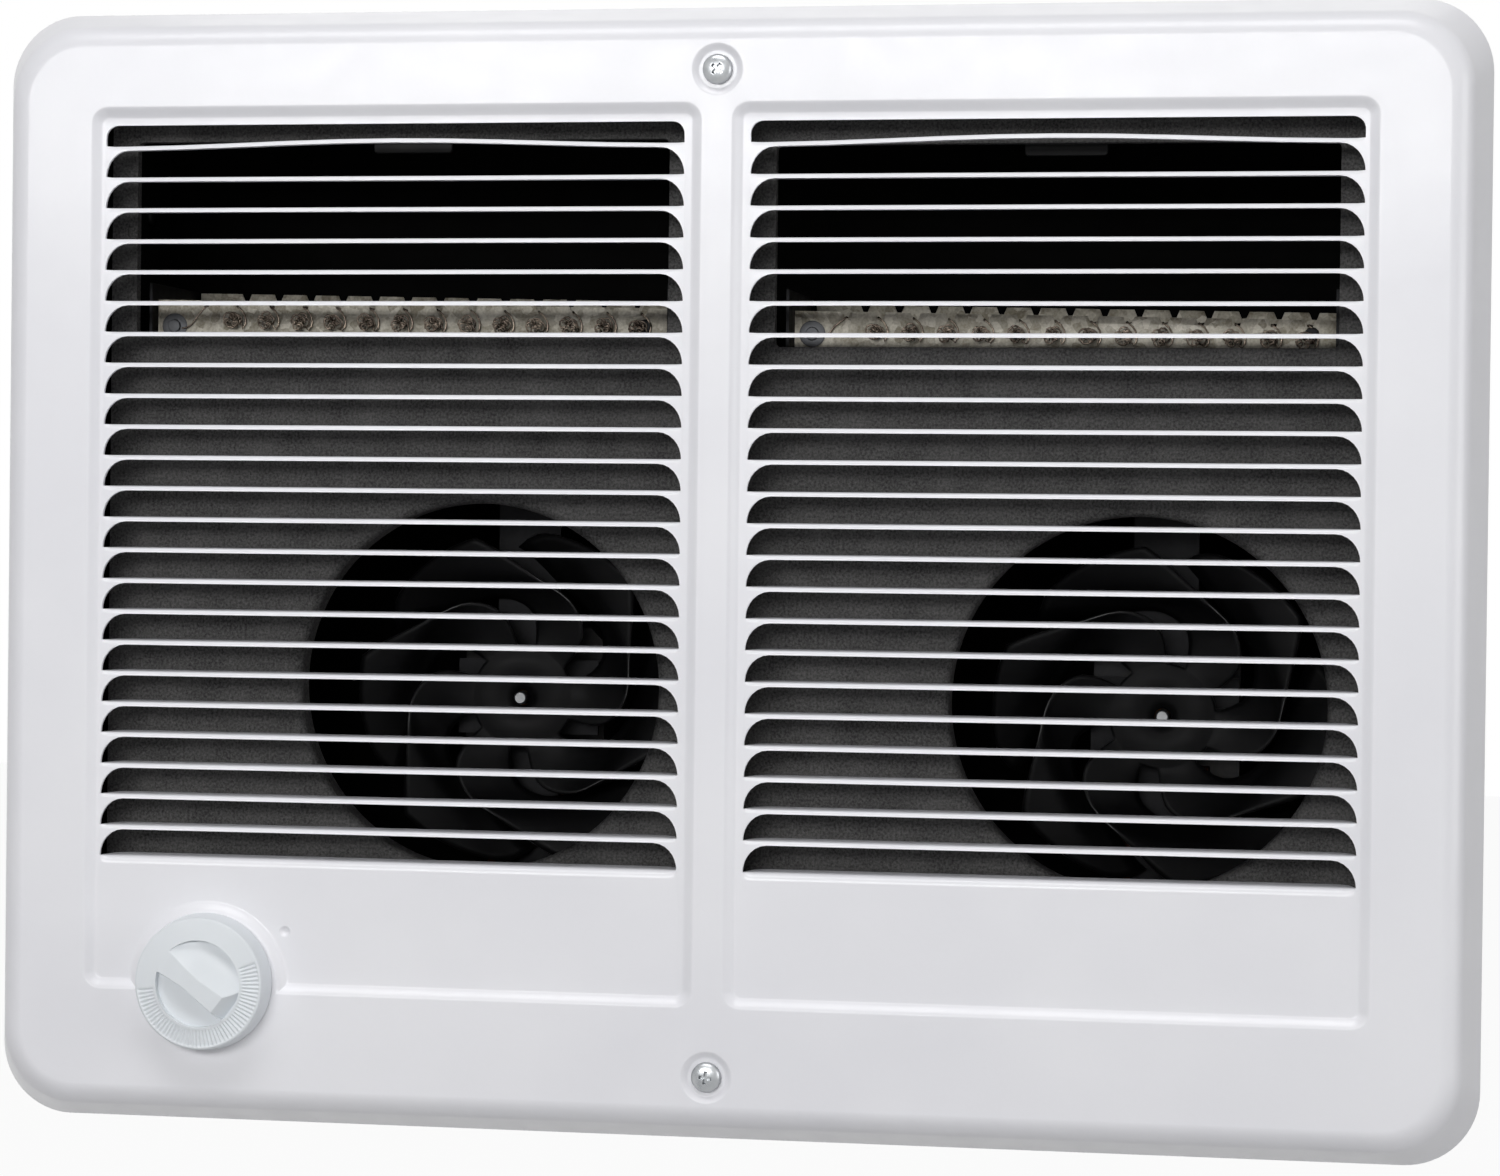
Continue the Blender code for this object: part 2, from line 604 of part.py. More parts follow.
def build_wall_can():
    half_width = CAN_WIDTH / 2
    half_height = CAN_HEIGHT / 2
    bm = bmesh.new()
    add_box(bm, (-half_width, WALL_Y, -half_height), (half_width, 0.0, half_height))
    front = min(bm.faces, key=lambda face: face.calc_center_median().y)
    long_edges = [edge for edge in front.edges
                  if abs(edge.verts[0].co.z - edge.verts[1].co.z) < FIT_GAP]
    bmesh.ops.delete(bm, geom=[front], context="FACES_ONLY")
    for edge in long_edges:
        inward = -math.copysign(CAN_LIP, edge.verts[0].co.z)
        lip = bmesh.ops.extrude_edge_only(bm, edges=[edge])["geom"]
        moved = [item for item in lip if isinstance(item, bmesh.types.BMVert)]
        bmesh.ops.translate(bm, vec=(0.0, 0.0, inward), verts=moved)
        side = CAN_SHEET + FIT_GAP
        for vert in moved:
            vert.co.x -= math.copysign(side, vert.co.x)
    bmesh.ops.recalc_face_normals(bm, faces=bm.faces)
    back = max(bm.faces, key=lambda face: face.calc_center_median().y)
    if back.normal.y < 0:
        bmesh.ops.reverse_faces(bm, faces=bm.faces)
    can = mesh_object("wall_can", bm, "galvanised")
    thicken(can, CAN_SHEET)

    forward = (0.0, -1.0, 0.0)
    through = 4 * CAN_SHEET
    lip_start = WALL_Y + 2 * CAN_SHEET
    screw_hole = SCREW_RADIUS + HOLE_GAP
    holes = [((0.0, lip_start, z), forward, through, screw_hole) for z in (-LIP_CENTRE, LIP_CENTRE)]
    for _, unit_x, unit_z in UNITS:
        for z in (-LIP_CENTRE, LIP_CENTRE):
            holes.append(((unit_x, lip_start, z + unit_z), forward, through, screw_hole))
    for side in (-1, 1):
        start_x = side * (half_width - 2 * CAN_SHEET)
        for y in (WALL_Y * 0.75, WALL_Y * 0.25):
            for z in (-CAN_HEIGHT * 0.36, CAN_HEIGHT * 0.36):
                holes.append(((start_x, y, z), (side, 0, 0), through, NAIL_HOLE_RADIUS))
    holes.append(((EARTH_SCREW_X, CAN_SHEET, EARTH_SCREW_Z), forward, through, screw_hole))
    cut_holes(can, "can_holes", holes)
    entry = ((CONNECTOR_X, -CONNECTOR_INSET, 2 * CAN_SHEET - half_height), (0, 0, -1), through,
             KNOCKOUT_RADIUS)
    knockouts = [entry]
    step = KNOCKOUT_STEP
    for x in (-CONNECTOR_X, 0.0):
        knockouts.append(((x, -CONNECTOR_INSET, step - half_height), (0, 0, -1), through, KNOCKOUT_RADIUS))
    for x in (-CAN_WIDTH * 0.36, CAN_WIDTH * 0.36):
        knockouts.append(((x, -step, -CAN_HEIGHT * 0.36), (0, 1, 0), through, KNOCKOUT_RADIUS))
    cut_holes(can, "can_knockouts", knockouts, 16)


# Deck plates


def build_deck(side, unit_x, unit_z):
    """Deck of one unit: a plate with side flanges, an outlet opening and a rolled fan orifice."""
    bm = bmesh.new()
    half_width = DECK_WIDTH / 2
    x0, x1 = unit_x - half_width, unit_x + half_width
    z0, z1 = unit_z - DECK_HALF_HEIGHT, unit_z + DECK_HALF_HEIGHT
    fold_low, fold_high = z0 + CAN_LIP, z1 - CAN_LIP
    edge = add_ring(bm, [(x0, z0), (x1, z0), (x1, fold_low), (x1, fold_high), (x1, z1), (x0, z1),
                         (x0, fold_high), (x0, fold_low)], DECK_Y)
    outlet_top = unit_z + OUTLET_TOP
    outlet_outline = rounded_rectangle(unit_x - OUTLET_WIDTH / 2, unit_x + OUTLET_WIDTH / 2,
                                       unit_z + OUTLET_BOTTOM, outlet_top, 0.002, 2)
    tab_x, tab_z = OUTLET_TAB_WIDTH / 2, outlet_top - OUTLET_TAB_HEIGHT
    outlet_outline[9:9] = [(unit_x + tab_x + 0.001, outlet_top), (unit_x + tab_x, tab_z),
                           (unit_x - tab_x, tab_z), (unit_x - tab_x - 0.001, outlet_top)]
    outlet = add_ring(bm, outlet_outline, DECK_Y)
    outlet_back = add_ring(bm, outlet_outline, DECK_Y + OUTLET_FLANGE)
    bridge(bm, outlet, outlet_back)
    orifice_x, orifice_z = unit_x + ORIFICE_X, unit_z + ORIFICE_Z
    rings = []
    for angle in (0, 45, 90):
        radius = ORIFICE_RADIUS + ORIFICE_ROLL * (1 - math.sin(math.radians(angle)))
        depth = ORIFICE_ROLL * (1 - math.cos(math.radians(angle)))
        rings.append(add_ring(bm, circle(orifice_x, orifice_z, radius, 32), DECK_Y + depth))
    rings.append(add_ring(bm, circle(orifice_x, orifice_z, ORIFICE_RADIUS, 32), DECK_Y + ORIFICE_DEPTH))
    for outer, inner in zip(rings, rings[1:]):
        bridge(bm, outer, inner)
    fill_between(bm, [edge, outlet, rings[0]])
    for first, second in ((edge[2], edge[3]), (edge[6], edge[7])):
        fold = bmesh.ops.extrude_edge_only(bm, edges=[bm.edges.get((first, second))])["geom"]
        moved = [item for item in fold if isinstance(item, bmesh.types.BMVert)]
        bmesh.ops.translate(bm, vec=(0.0, DECK_SIDE_FLANGE, 0.0), verts=moved)
    face_front(bm)
    deck = mesh_object("deck_" + side, bm, "charcoal_paint")
    thicken(deck, DECK_SHEET)
    start_y = DECK_Y - DECK_SHEET
    holes = [((unit_x, start_y, unit_z + z), (0, 1, 0), 4 * DECK_SHEET, SCREW_RADIUS + HOLE_GAP)
             for z in (-LIP_CENTRE, LIP_CENTRE)]
    if side == "left":
        holes.append(((KNOB_X, start_y, KNOB_Z), (0, 1, 0), 4 * DECK_SHEET, BUSH_RADIUS + HOLE_GAP))
    cut_holes(deck, "deck_holes_" + side, holes)


def build_deck_screws():
    seat = DECK_Y - FIT_GAP
    reach = WALL_Y - seat + SCREW_REACH
    profile = pan_head_profile(DECK_SCREW_HEAD_RADIUS, DECK_SCREW_HEAD_HEIGHT, SCREW_RADIUS, reach)
    for side, x, z in UNITS:
        for place, screw_z in (("top", z + LIP_CENTRE), ("bottom", z - LIP_CENTRE)):
            turned("deck_screw_" + place + "_" + side, profile, "zinc", (x, seat, screw_z), 12)


# Fans and motors


def build_fan(side, x, z):
    """Stamped fan: a hub disc whose rim runs out into swept, pitched blades."""
    bm = bmesh.new()
    chord = 4
    per_blade = chord + 2
    hub_count = FAN_BLADES * per_blade
    hole = add_ring(bm, circle(0.0, 0.0, MOTOR_SHAFT_RADIUS + HOLE_GAP, hub_count), 0.0)
    rim = add_ring(bm, circle(0.0, 0.0, FAN_HUB_RADIUS, hub_count), 0.0)
    bridge(bm, rim, hole)
    root = math.tau * chord / hub_count
    for blade in range(FAN_BLADES):
        first = blade * per_blade
        start = math.tau * first / hub_count
        previous = [rim[first + i] for i in range(chord + 1)]
        for step, (radius, edge_angle) in enumerate(BLADE_EDGE):
            spread = (step + 1) / len(BLADE_EDGE)
            width = root + (BLADE_WIDTH - root) * spread
            pitch = FAN_PITCH_DEPTH * min(1.0, 0.4 + spread)
            row = []
            for i in range(chord + 1):
                across = i / chord
                angle = start + math.radians(20 + edge_angle) + width * across
                rounding = 0.005 * spread * max(0.0, 4 * across - 3) ** 2
                lift = pitch * (0.5 - across) + 0.12 * FAN_PITCH_DEPTH * 4 * across * (1 - across)
                reach = radius - rounding
                row.append(bm.verts.new((reach * math.cos(angle), -lift, reach * math.sin(angle))))
            for i in range(chord):
                bm.faces.new((previous[i], previous[i + 1], row[i + 1], row[i]))
            previous = row
    face_front(bm)
    bmesh.ops.rotate(bm, verts=bm.verts, cent=(0.0, 0.0, 0.0),
                     matrix=Matrix.Rotation(-FAN_REST_TURNS[side], 3, "Y"))
    fan = mesh_object("fan_" + side, bm, "black_blade", (x, FAN_Y, z))
    thicken(fan, FAN_SHEET)


def build_shaft(side, x, z):
    nose = SHAFT_NOSE
    tail = BRIDGE_BACK_Y - FAN_Y + nose
    profile = [(0.0, nose), (MOTOR_SHAFT_RADIUS * 0.75, nose),
               (MOTOR_SHAFT_RADIUS, nose - MOTOR_SHAFT_RADIUS * 0.25),
               (MOTOR_SHAFT_RADIUS, -tail), (0.0, -tail)]
    turned("motor_shaft_" + side, profile, "steel", (x, FAN_Y, z), 16)


def build_rotor(side, x, z):
    profile = ring_profile(MOTOR_SHAFT_RADIUS + FIT_GAP, STACK_BORE - ROTOR_GAP, -STACK_LENGTH, 0.0)
    turned("rotor_" + side, profile, "lamination", (x, STACK_Y, z), closed=True)


def bolt_places(x, z):
    return [(x - BOLT_SPACING / 2, z), (x + BOLT_SPACING / 2, z)]


def build_motor_strap(side, x, z):
    """Steel strap that holds the motor behind the orifice, with its two feet under the deck."""
    bm = bmesh.new()
    half = STRAP_WIDTH / 2
    pad_x, pad_z = STRAP_PAD_WIDTH / 2, STRAP_PAD_HEIGHT / 2
    outline = [(-half, -STRAP_LEG), (half, -STRAP_LEG), (half, -pad_z), (pad_x, -pad_z),
               (pad_x, pad_z), (half, pad_z), (half, STRAP_LEG), (-half, STRAP_LEG),
               (-half, pad_z), (-pad_x, pad_z), (-pad_x, -pad_z), (-half, -pad_z)]
    edge = add_ring(bm, [(x + px, z + pz) for px, pz in outline], STRAP_Y)
    holes = [add_ring(bm, circle(x, z, BRIDGE_HUB_RADIUS, 16), STRAP_Y)]
    for bolt_x, bolt_z in bolt_places(x, z):
        holes.append(add_ring(bm, circle(bolt_x, bolt_z, BOLT_RADIUS + HOLE_GAP, 12), STRAP_Y))
    fill_between(bm, [edge] + holes)
    foot_y = DECK_BACK_Y + FIT_GAP
    for first, second, way in ((edge[0], edge[1], -1), (edge[6], edge[7], 1)):
        leg = bmesh.ops.extrude_edge_only(bm, edges=[bm.edges.get((first, second))])["geom"]
        moved = [item for item in leg if isinstance(item, bmesh.types.BMVert)]
        bmesh.ops.translate(bm, vec=(0.0, foot_y - STRAP_Y, 0.0), verts=moved)
        end = [item for item in leg if isinstance(item, bmesh.types.BMEdge)]
        foot = bmesh.ops.extrude_edge_only(bm, edges=end)["geom"]
        moved = [item for item in foot if isinstance(item, bmesh.types.BMVert)]
        bmesh.ops.translate(bm, vec=(0.0, 0.0, way * STRAP_FOOT), verts=moved)
    face_front(bm)
    strap = mesh_object("motor_strap_" + side, bm, "galvanised")
    thicken(strap, STRAP_SHEET)


def build_bearing_bridges(side, x, z):
    """Front and rear bridges: a plate with a hub for the sleeve bearing and two standing feet."""
    width = BOLT_SPACING + 2 * BOLT_HEAD_RADIUS + 0.002
    for place, plate_y, stand_start in (("front", BRIDGE_FRONT_Y, BRIDGE_FRONT_Y + BRIDGE_SHEET * 0.5),
                                        ("rear", BRIDGE_REAR_Y, BRIDGE_REAR_Y + BRIDGE_SHEET * 0.5)):
        bm = bmesh.new()
        add_box(bm, (x - width / 2, plate_y, z - 0.006), (x + width / 2, plate_y + BRIDGE_SHEET, z + 0.006))
        name = "bearing_bridge_" + place + "_" + side
        bridge_plate = mesh_object(name, bm, "zinc")
        hub = bmesh.new()
        add_rod(hub, (x, plate_y - 0.0002, z), (0, 1, 0), BRIDGE_SHEET + 0.0004, BRIDGE_HUB_RADIUS - FIT_GAP, 16)
        joined = hide_cutter(mesh_object(name + "_hub", hub, collection=CUTTERS))
        boolean(bridge_plate, joined, "UNION")
        way = 1 if place == "front" else -1
        feet = bmesh.new()
        for bolt_x, bolt_z in bolt_places(x, z):
            add_rod(feet, (bolt_x, stand_start, bolt_z), (0, way, 0),
                    BRIDGE_STAND + BRIDGE_SHEET * 0.5, BOLT_HEAD_RADIUS, 8)
        joined = hide_cutter(mesh_object(name + "_feet", feet, collection=CUTTERS))
        boolean(bridge_plate, joined, "UNION")
        holes = [((x, plate_y - 0.002, z), (0, 1, 0), BRIDGE_SHEET + 0.004, BUSHING_RADIUS + FIT_GAP)]
        for bolt_x, bolt_z in bolt_places(x, z):
            holes.append(((bolt_x, plate_y - 0.010, bolt_z), (0, 1, 0), 0.022, BOLT_RADIUS + FIT_GAP))
        cut_holes(bridge_plate, name + "_holes", holes, 12)


def build_bushings(side, x, z):
    """Two sintered sleeve bearings in one node, front and rear."""
    length = BRIDGE_SHEET + 0.002
    profile = ring_profile(MOTOR_SHAFT_RADIUS + 0.0001, BUSHING_RADIUS, -length, 0.0)
    for place, y in (("front", BRIDGE_FRONT_Y), ("rear", BRIDGE_REAR_Y - 0.002)):
        turned("sleeve_bearing_" + place + "_" + side, profile, "bronze", (x, y, z), 16, closed=True)


def build_stack(side, x, z):
    """Laminated stator: one loop of iron round the rotor bore and the winding's window."""
    half = STACK_WIDTH / 2
    chamfer = 0.005
    outline = [(-half, STACK_BOTTOM), (half, STACK_BOTTOM), (half, STACK_TOP - chamfer),
               (half - chamfer, STACK_TOP), (chamfer - half, STACK_TOP), (-half, STACK_TOP - chamfer)]
    window = rectangle(STACK_LEG - half, half - STACK_LEG, STACK_BOTTOM + YOKE_HEIGHT, WINDOW_TOP)
    holes = [circle(0.0, 0.0, STACK_BORE, 32), window]
    for bolt_x, bolt_z in bolt_places(0.0, 0.0):
        holes.append(circle(bolt_x, bolt_z, BOLT_RADIUS + FIT_GAP, 12))
    flat_plate("stator_stack_" + side, [outline] + holes, STACK_LENGTH, "lamination", (x, STACK_Y, z))


def build_winding(side, x, z):
    """Winding on its bobbin round the stack's yoke, open along X."""
    half = STACK_WIDTH / 2 - STACK_LEG - FIT_GAP
    low = z + STACK_BOTTOM - FIT_GAP
    high = z + STACK_BOTTOM + YOKE_HEIGHT + FIT_GAP
    rise = z + WINDOW_TOP - FIT_GAP - high
    bm = bmesh.new()
    add_box(bm, (x - half, STACK_Y - WINDING_BUILD, low - rise),
            (x + half, STACK_BACK_Y + WINDING_BUILD, high + rise))
    edges = [edge for edge in bm.edges if abs(edge.verts[0].co.x - edge.verts[1].co.x) > half]
    bmesh.ops.bevel(bm, geom=edges, offset=0.004, segments=3, profile=0.5, affect="EDGES", material=-1)
    winding = mesh_object("winding_" + side, bm, "enamelled_wire")
    hole = bmesh.new()
    add_box(hole, (x - 2 * half, STACK_Y - FIT_GAP, low), (x + 2 * half, STACK_BACK_Y + FIT_GAP, high))
    cutter = hide_cutter(mesh_object("winding_core_" + side, hole, collection=CUTTERS))
    boolean(winding, cutter, "DIFFERENCE")


def build_motor_bolts(side, x, z):
    seat = STRAP_Y - FIT_GAP
    reach = BRIDGE_BACK_Y + 0.002 - seat
    profile = [(0.0, BOLT_HEAD_HEIGHT), (BOLT_HEAD_RADIUS, BOLT_HEAD_HEIGHT), (BOLT_HEAD_RADIUS, 0.0),
               (BOLT_RADIUS, 0.0), (BOLT_RADIUS, -reach), (0.0, -reach)]
    for place, (bolt_x, bolt_z) in zip("ab", bolt_places(x, z)):
        turned("motor_bolt_" + place + "_" + side, profile, "zinc", (bolt_x, seat, bolt_z), 12)


# Heating elements


def board_outline():
    """Mica board with a row of V notches in its top edge, about its own centre line."""
    half = BOARD_WIDTH / 2
    outline = [(-half, -BOARD_HEIGHT), (half, -BOARD_HEIGHT), (half, 0.0)]
    for index in range(NOTCH_COUNT - 1, -1, -1):
        notch_x = NOTCH_START + index * NOTCH_PITCH
        outline += [(notch_x + NOTCH_WIDTH / 2, 0.0), (notch_x, -NOTCH_DEPTH),
                    (notch_x - NOTCH_WIDTH / 2, 0.0)]
    return outline + [(-half, 0.0)]


def build_boards(side, unit_x, unit_z):
    x = unit_x + BOARD_SHIFT
    z = unit_z + BOARD_TOP
    outline = board_outline()
    flat_plate("mica_board_front_" + side, [outline], BOARD_SHEET, "mica", (x, BOARD_FRONT_Y, z))
    flat_plate("mica_board_rear_" + side, [outline], BOARD_SHEET, "mica",
               (x, BOARD_REAR_Y, z + ELEMENT_RISE))


def element_points(unit_x, unit_z):
    """Route of one element's wire: coils strung to and fro between the boards, in one length."""
    start_y = BOARD_FRONT_Y + BOARD_SHEET + FIT_GAP + WIRE_RADIUS
    end_y = BOARD_REAR_Y - FIT_GAP - WIRE_RADIUS
    height = unit_z + BOARD_TOP - COIL_DROP
    points = []
    for coil in range(NOTCH_COUNT - 1):
        x = unit_x + BOARD_SHIFT + NOTCH_START + (coil + 0.5) * NOTCH_PITCH
        steps = CURLS_PER_COIL * POINTS_PER_CURL
        for step in range(steps + 1):
            along = step / steps
            if coil % 2:
                along = 1 - along
            turn = math.tau * step / POINTS_PER_CURL - math.pi / 2
            y = start_y + (end_y - start_y) * along
            rise = ELEMENT_RISE * along
            points.append((x + CURL_RADIUS * math.cos(turn), y, height + rise + CURL_RADIUS * math.sin(turn)))
    return points


def least_self_gap(points):
    """Least clear distance between stretches of a tube that are more than half a curl apart."""
    vectors = [Vector(point) for point in points]
    apart = POINTS_PER_CURL // 2
    least = min((vectors[i] - vectors[j]).length
                for i in range(len(vectors)) for j in range(i + apart, len(vectors)))
    return least - 2 * WIRE_RADIUS


def build_element_coil(side, unit_x, unit_z):
    points = element_points(unit_x, unit_z)
    curve = bpy.data.curves.new("element_coil_" + side, "CURVE")
    curve.dimensions = "3D"
    curve.bevel_depth = WIRE_RADIUS
    curve.bevel_resolution = 1
    curve.use_fill_caps = True
    spline = curve.splines.new("POLY")
    spline.points.add(len(points) - 1)
    for point, place in zip(spline.points, points):
        point.co = (*place, 1.0)
    coil = bpy.data.objects.new("element_coil_" + side, curve)
    MODEL.objects.link(coil)
    finish_object(coil, "nichrome")
    print("element_coil_" + side, "least gap to itself", round(least_self_gap(points) * 1000, 2), "mm")


def build_element_frame(side, unit_x, unit_z):
    """Two steel cheeks that hold the boards' ends and stand on the outlet's flange."""
    start_y = DECK_Y + OUTLET_FLANGE + FIT_GAP
    low = unit_z + BOARD_TOP - BOARD_HEIGHT
    high = unit_z + BOARD_TOP + ELEMENT_RISE + 0.002
    back_y = BOARD_REAR_Y + BOARD_SHEET + 0.002
    for end, way in (("a", -1), ("b", 1)):
        inner = unit_x + BOARD_SHIFT + way * (BOARD_WIDTH / 2 + FIT_GAP)
        outer = inner + way * FRAME_SHEET
        bm = bmesh.new()
        add_box(bm, (min(inner, outer), start_y, low), (max(inner, outer), back_y, high))
        mesh_object("element_cheek_" + end + "_" + side, bm, "galvanised")


def build_terminals(side, unit_x, unit_z):
    """Two rivets on the front board's ends, where the element's wire meets its leads."""
    profile = [(0.0, 0.0012), (TERMINAL_RADIUS * 0.8, 0.001), (TERMINAL_RADIUS, 0.0), (0.0, 0.0)]
    z = unit_z + BOARD_TOP - COIL_DROP
    x = unit_x + BOARD_SHIFT
    end = BOARD_WIDTH / 2 - 3 * TERMINAL_RADIUS
    for place, way in (("a", -1), ("b", 1)):
        turned("element_terminal_" + place + "_" + side, profile, "steel",
               (x + way * end, BOARD_FRONT_Y - FIT_GAP, z), 12)


def build_cutout(side, unit_x, unit_z):
    """Over-temperature cut-out: a bimetal disc switch on the back of the deck."""
    start = DECK_BACK_Y + FIT_GAP
    depth = CUTOUT_DEPTH
    profile = [(0.0, 0.0), (CUTOUT_RADIUS * 1.25, 0.0), (CUTOUT_RADIUS * 1.25, -0.001),
               (CUTOUT_RADIUS, -0.001), (CUTOUT_RADIUS, -depth + 0.001),
               (CUTOUT_RADIUS - 0.001, -depth), (0.0, -depth)]
    turned("limit_cutout_" + side, profile, "black_phenolic",
           (unit_x + CUTOUT_X, start, unit_z + CUTOUT_Z), 16)


# Thermostat and knob


def build_thermostat():
    start = DECK_BACK_Y + FIT_GAP
    bm = bmesh.new()
    add_box(bm, (KNOB_X - THERMOSTAT_WIDTH / 2, start, KNOB_Z - THERMOSTAT_HEIGHT / 2),
            (KNOB_X + THERMOSTAT_WIDTH / 2, start + THERMOSTAT_DEPTH, KNOB_Z + THERMOSTAT_HEIGHT / 2))
    bmesh.ops.bevel(bm, geom=bm.edges[:], offset=0.0015, segments=2, profile=0.5, affect="EDGES",
                    material=-1)
    mesh_object("thermostat_body", bm, "black_phenolic")
    place = (KNOB_X, start - FIT_GAP, KNOB_Z)
    bore = SHAFT_RADIUS + FIT_GAP
    turned("thermostat_bush", ring_profile(bore, BUSH_RADIUS, 0.0, BUSH_LENGTH), "bronze", place,
           16, closed=True)
    nut = [circle(0.0, 0.0, BUSH_NUT_RADIUS, 6), circle(0.0, 0.0, BUSH_RADIUS + 2 * FIT_GAP, 16)]
    flat_plate("thermostat_nut", nut, BUSH_NUT_THICKNESS, "zinc",
               (KNOB_X, DECK_Y - FIT_GAP - BUSH_NUT_THICKNESS, KNOB_Z))


def build_knob():
    """Knob with a ring round a shallow well and a grip bar across it, on the thermostat's shaft."""
    base = FRONT_Y - FIT_GAP
    shaft_end = base - KNOB_SOCKET_DEPTH + FIT_GAP
    shaft_start = DECK_BACK_Y
    length = shaft_start - shaft_end
    profile = [(0.0, length), (SHAFT_RADIUS - 0.0005, length), (SHAFT_RADIUS, length - 0.0005),
               (SHAFT_RADIUS, 0.0), (0.0, 0.0)]
    turned("thermostat_shaft", profile, "steel", (KNOB_X, shaft_start, KNOB_Z), 16)

    socket = SHAFT_RADIUS + FIT_GAP
    profile = [(0.0, KNOB_WELL_HEIGHT), (KNOB_WELL_RADIUS, KNOB_WELL_HEIGHT),
               (KNOB_WELL_RADIUS, KNOB_RING_HEIGHT), (KNOB_FACE_RADIUS - 0.001, KNOB_RING_HEIGHT - 0.0007),
               (KNOB_FACE_RADIUS, KNOB_RING_HEIGHT - 0.0017), (KNOB_RADIUS, 0.0), (socket, 0.0),
               (socket, KNOB_SOCKET_DEPTH), (0.0, KNOB_SOCKET_DEPTH)]
    knob = turned("thermostat_knob", profile, "white_plastic", (KNOB_X, base, KNOB_Z), 32)
    grip = hide_cutter(mesh_object("knob_grip", knob_grip(), location=(KNOB_X, base, KNOB_Z),
                                   collection=CUTTERS))
    grip.rotation_euler = (0.0, -KNOB_GRIP_TURN, 0.0)
    boolean(knob, grip, "UNION")


def knob_grip():
    """Grip bar across the knob's well: steep on its lower side and scooped on its upper one."""
    sunk = KNOB_WELL_HEIGHT - 0.0004
    ends = ((-0.0143, 0.0052, -0.0055, KNOB_RING_HEIGHT), (-0.005, 0.002, -0.0038, KNOB_RIDGE_HEIGHT),
            (0.010, 0.0029, -0.0037, KNOB_RIDGE_HEIGHT), (0.0142, 0.0029, -0.0037, KNOB_WELL_HEIGHT + 0.0003))
    bm = bmesh.new()
    rings = []
    for along, high_edge, low_edge, ridge in ends:
        scoop = KNOB_WELL_HEIGHT + (ridge - KNOB_WELL_HEIGHT) * 0.3
        section = [(low_edge - 0.0004, sunk), (low_edge, ridge), (high_edge, ridge), (high_edge + 0.0035, scoop),
                   (0.0112, KNOB_WELL_HEIGHT + 0.0002), (0.0112, sunk)]
        rings.append([bm.verts.new((along, -height, across)) for across, height in section])
    for first, second in zip(rings, rings[1:]):
        bridge(bm, first, second)
    bm.faces.new(rings[0])
    bm.faces.new(rings[-1])
    bmesh.ops.recalc_face_normals(bm, faces=bm.faces)
    return bm


# Cable entry and earth


def build_connector():
    """Cable connector in the bottom knockout, with its locknut inside the can."""
    outside = -CAN_HEIGHT / 2 - FIT_GAP
    inside = -CAN_HEIGHT / 2 + CAN_SHEET + FIT_GAP
    neck = KNOCKOUT_RADIUS - 2 * FIT_GAP
    neck_top = inside + 0.006
    place = (CONNECTOR_X, -CONNECTOR_INSET, 0.0)
    profile = [(neck, neck_top), (neck, outside), (CONNECTOR_FLANGE, outside),
               (CONNECTOR_FLANGE, outside - 0.003), (neck, outside - 0.003),
               (neck, outside - CONNECTOR_LENGTH), (CONNECTOR_BORE, outside - CONNECTOR_LENGTH),
               (CONNECTOR_BORE, neck_top)]
    turned("cable_connector", profile, "zinc", place, 16, closed=True, rotation=UPRIGHT)
    nut = [circle(0.0, 0.0, CONNECTOR_FLANGE, 8), circle(0.0, 0.0, KNOCKOUT_RADIUS)]
    flat_plate("cable_locknut", nut, LOCKNUT_THICKNESS, "zinc",
               (CONNECTOR_X, -CONNECTOR_INSET, inside + LOCKNUT_THICKNESS), UPRIGHT)


def build_earth_screw():
    seat = -CAN_SHEET - FIT_GAP
    reach = -FIT_GAP - seat
    profile = [(0.0, 0.003), (0.0045, 0.003), (0.005, 0.0), (SCREW_RADIUS, 0.0), (SCREW_RADIUS, -reach),
               (0.0, -reach)]
    turned("earth_screw", profile, "green_zinc", (EARTH_SCREW_X, seat, EARTH_SCREW_Z), 6)


def build_unit(side, unit_x, unit_z):
    build_deck(side, unit_x, unit_z)
    axis_x, axis_z = unit_x + FAN_X, unit_z + FAN_Z
    build_fan(side, axis_x, axis_z)
    build_shaft(side, axis_x, axis_z)
    build_rotor(side, axis_x, axis_z)
    build_motor_strap(side, axis_x, axis_z)
    build_bearing_bridges(side, axis_x, axis_z)
    build_bushings(side, axis_x, axis_z)
    build_stack(side, axis_x, axis_z)
    build_winding(side, axis_x, axis_z)
    build_motor_bolts(side, axis_x, axis_z)
    build_boards(side, unit_x, unit_z)
    build_element_coil(side, unit_x, unit_z)
    build_element_frame(side, unit_x, unit_z)
    build_terminals(side, unit_x, unit_z)
    build_cutout(side, unit_x, unit_z)


def main():
    build_wall_can()
    build_grille()
    build_grille_screws()
    for side, unit_x, unit_z in UNITS:
        build_unit(side, unit_x, unit_z)
    build_deck_screws()
    build_thermostat()
    build_knob()
    build_connector()
    build_earth_screw()


main()
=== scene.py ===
"""Looks for the twin in-wall fan heater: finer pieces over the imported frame, and their materials."""
import math

import bmesh
import bpy
from mathutils import Matrix, Vector, noise


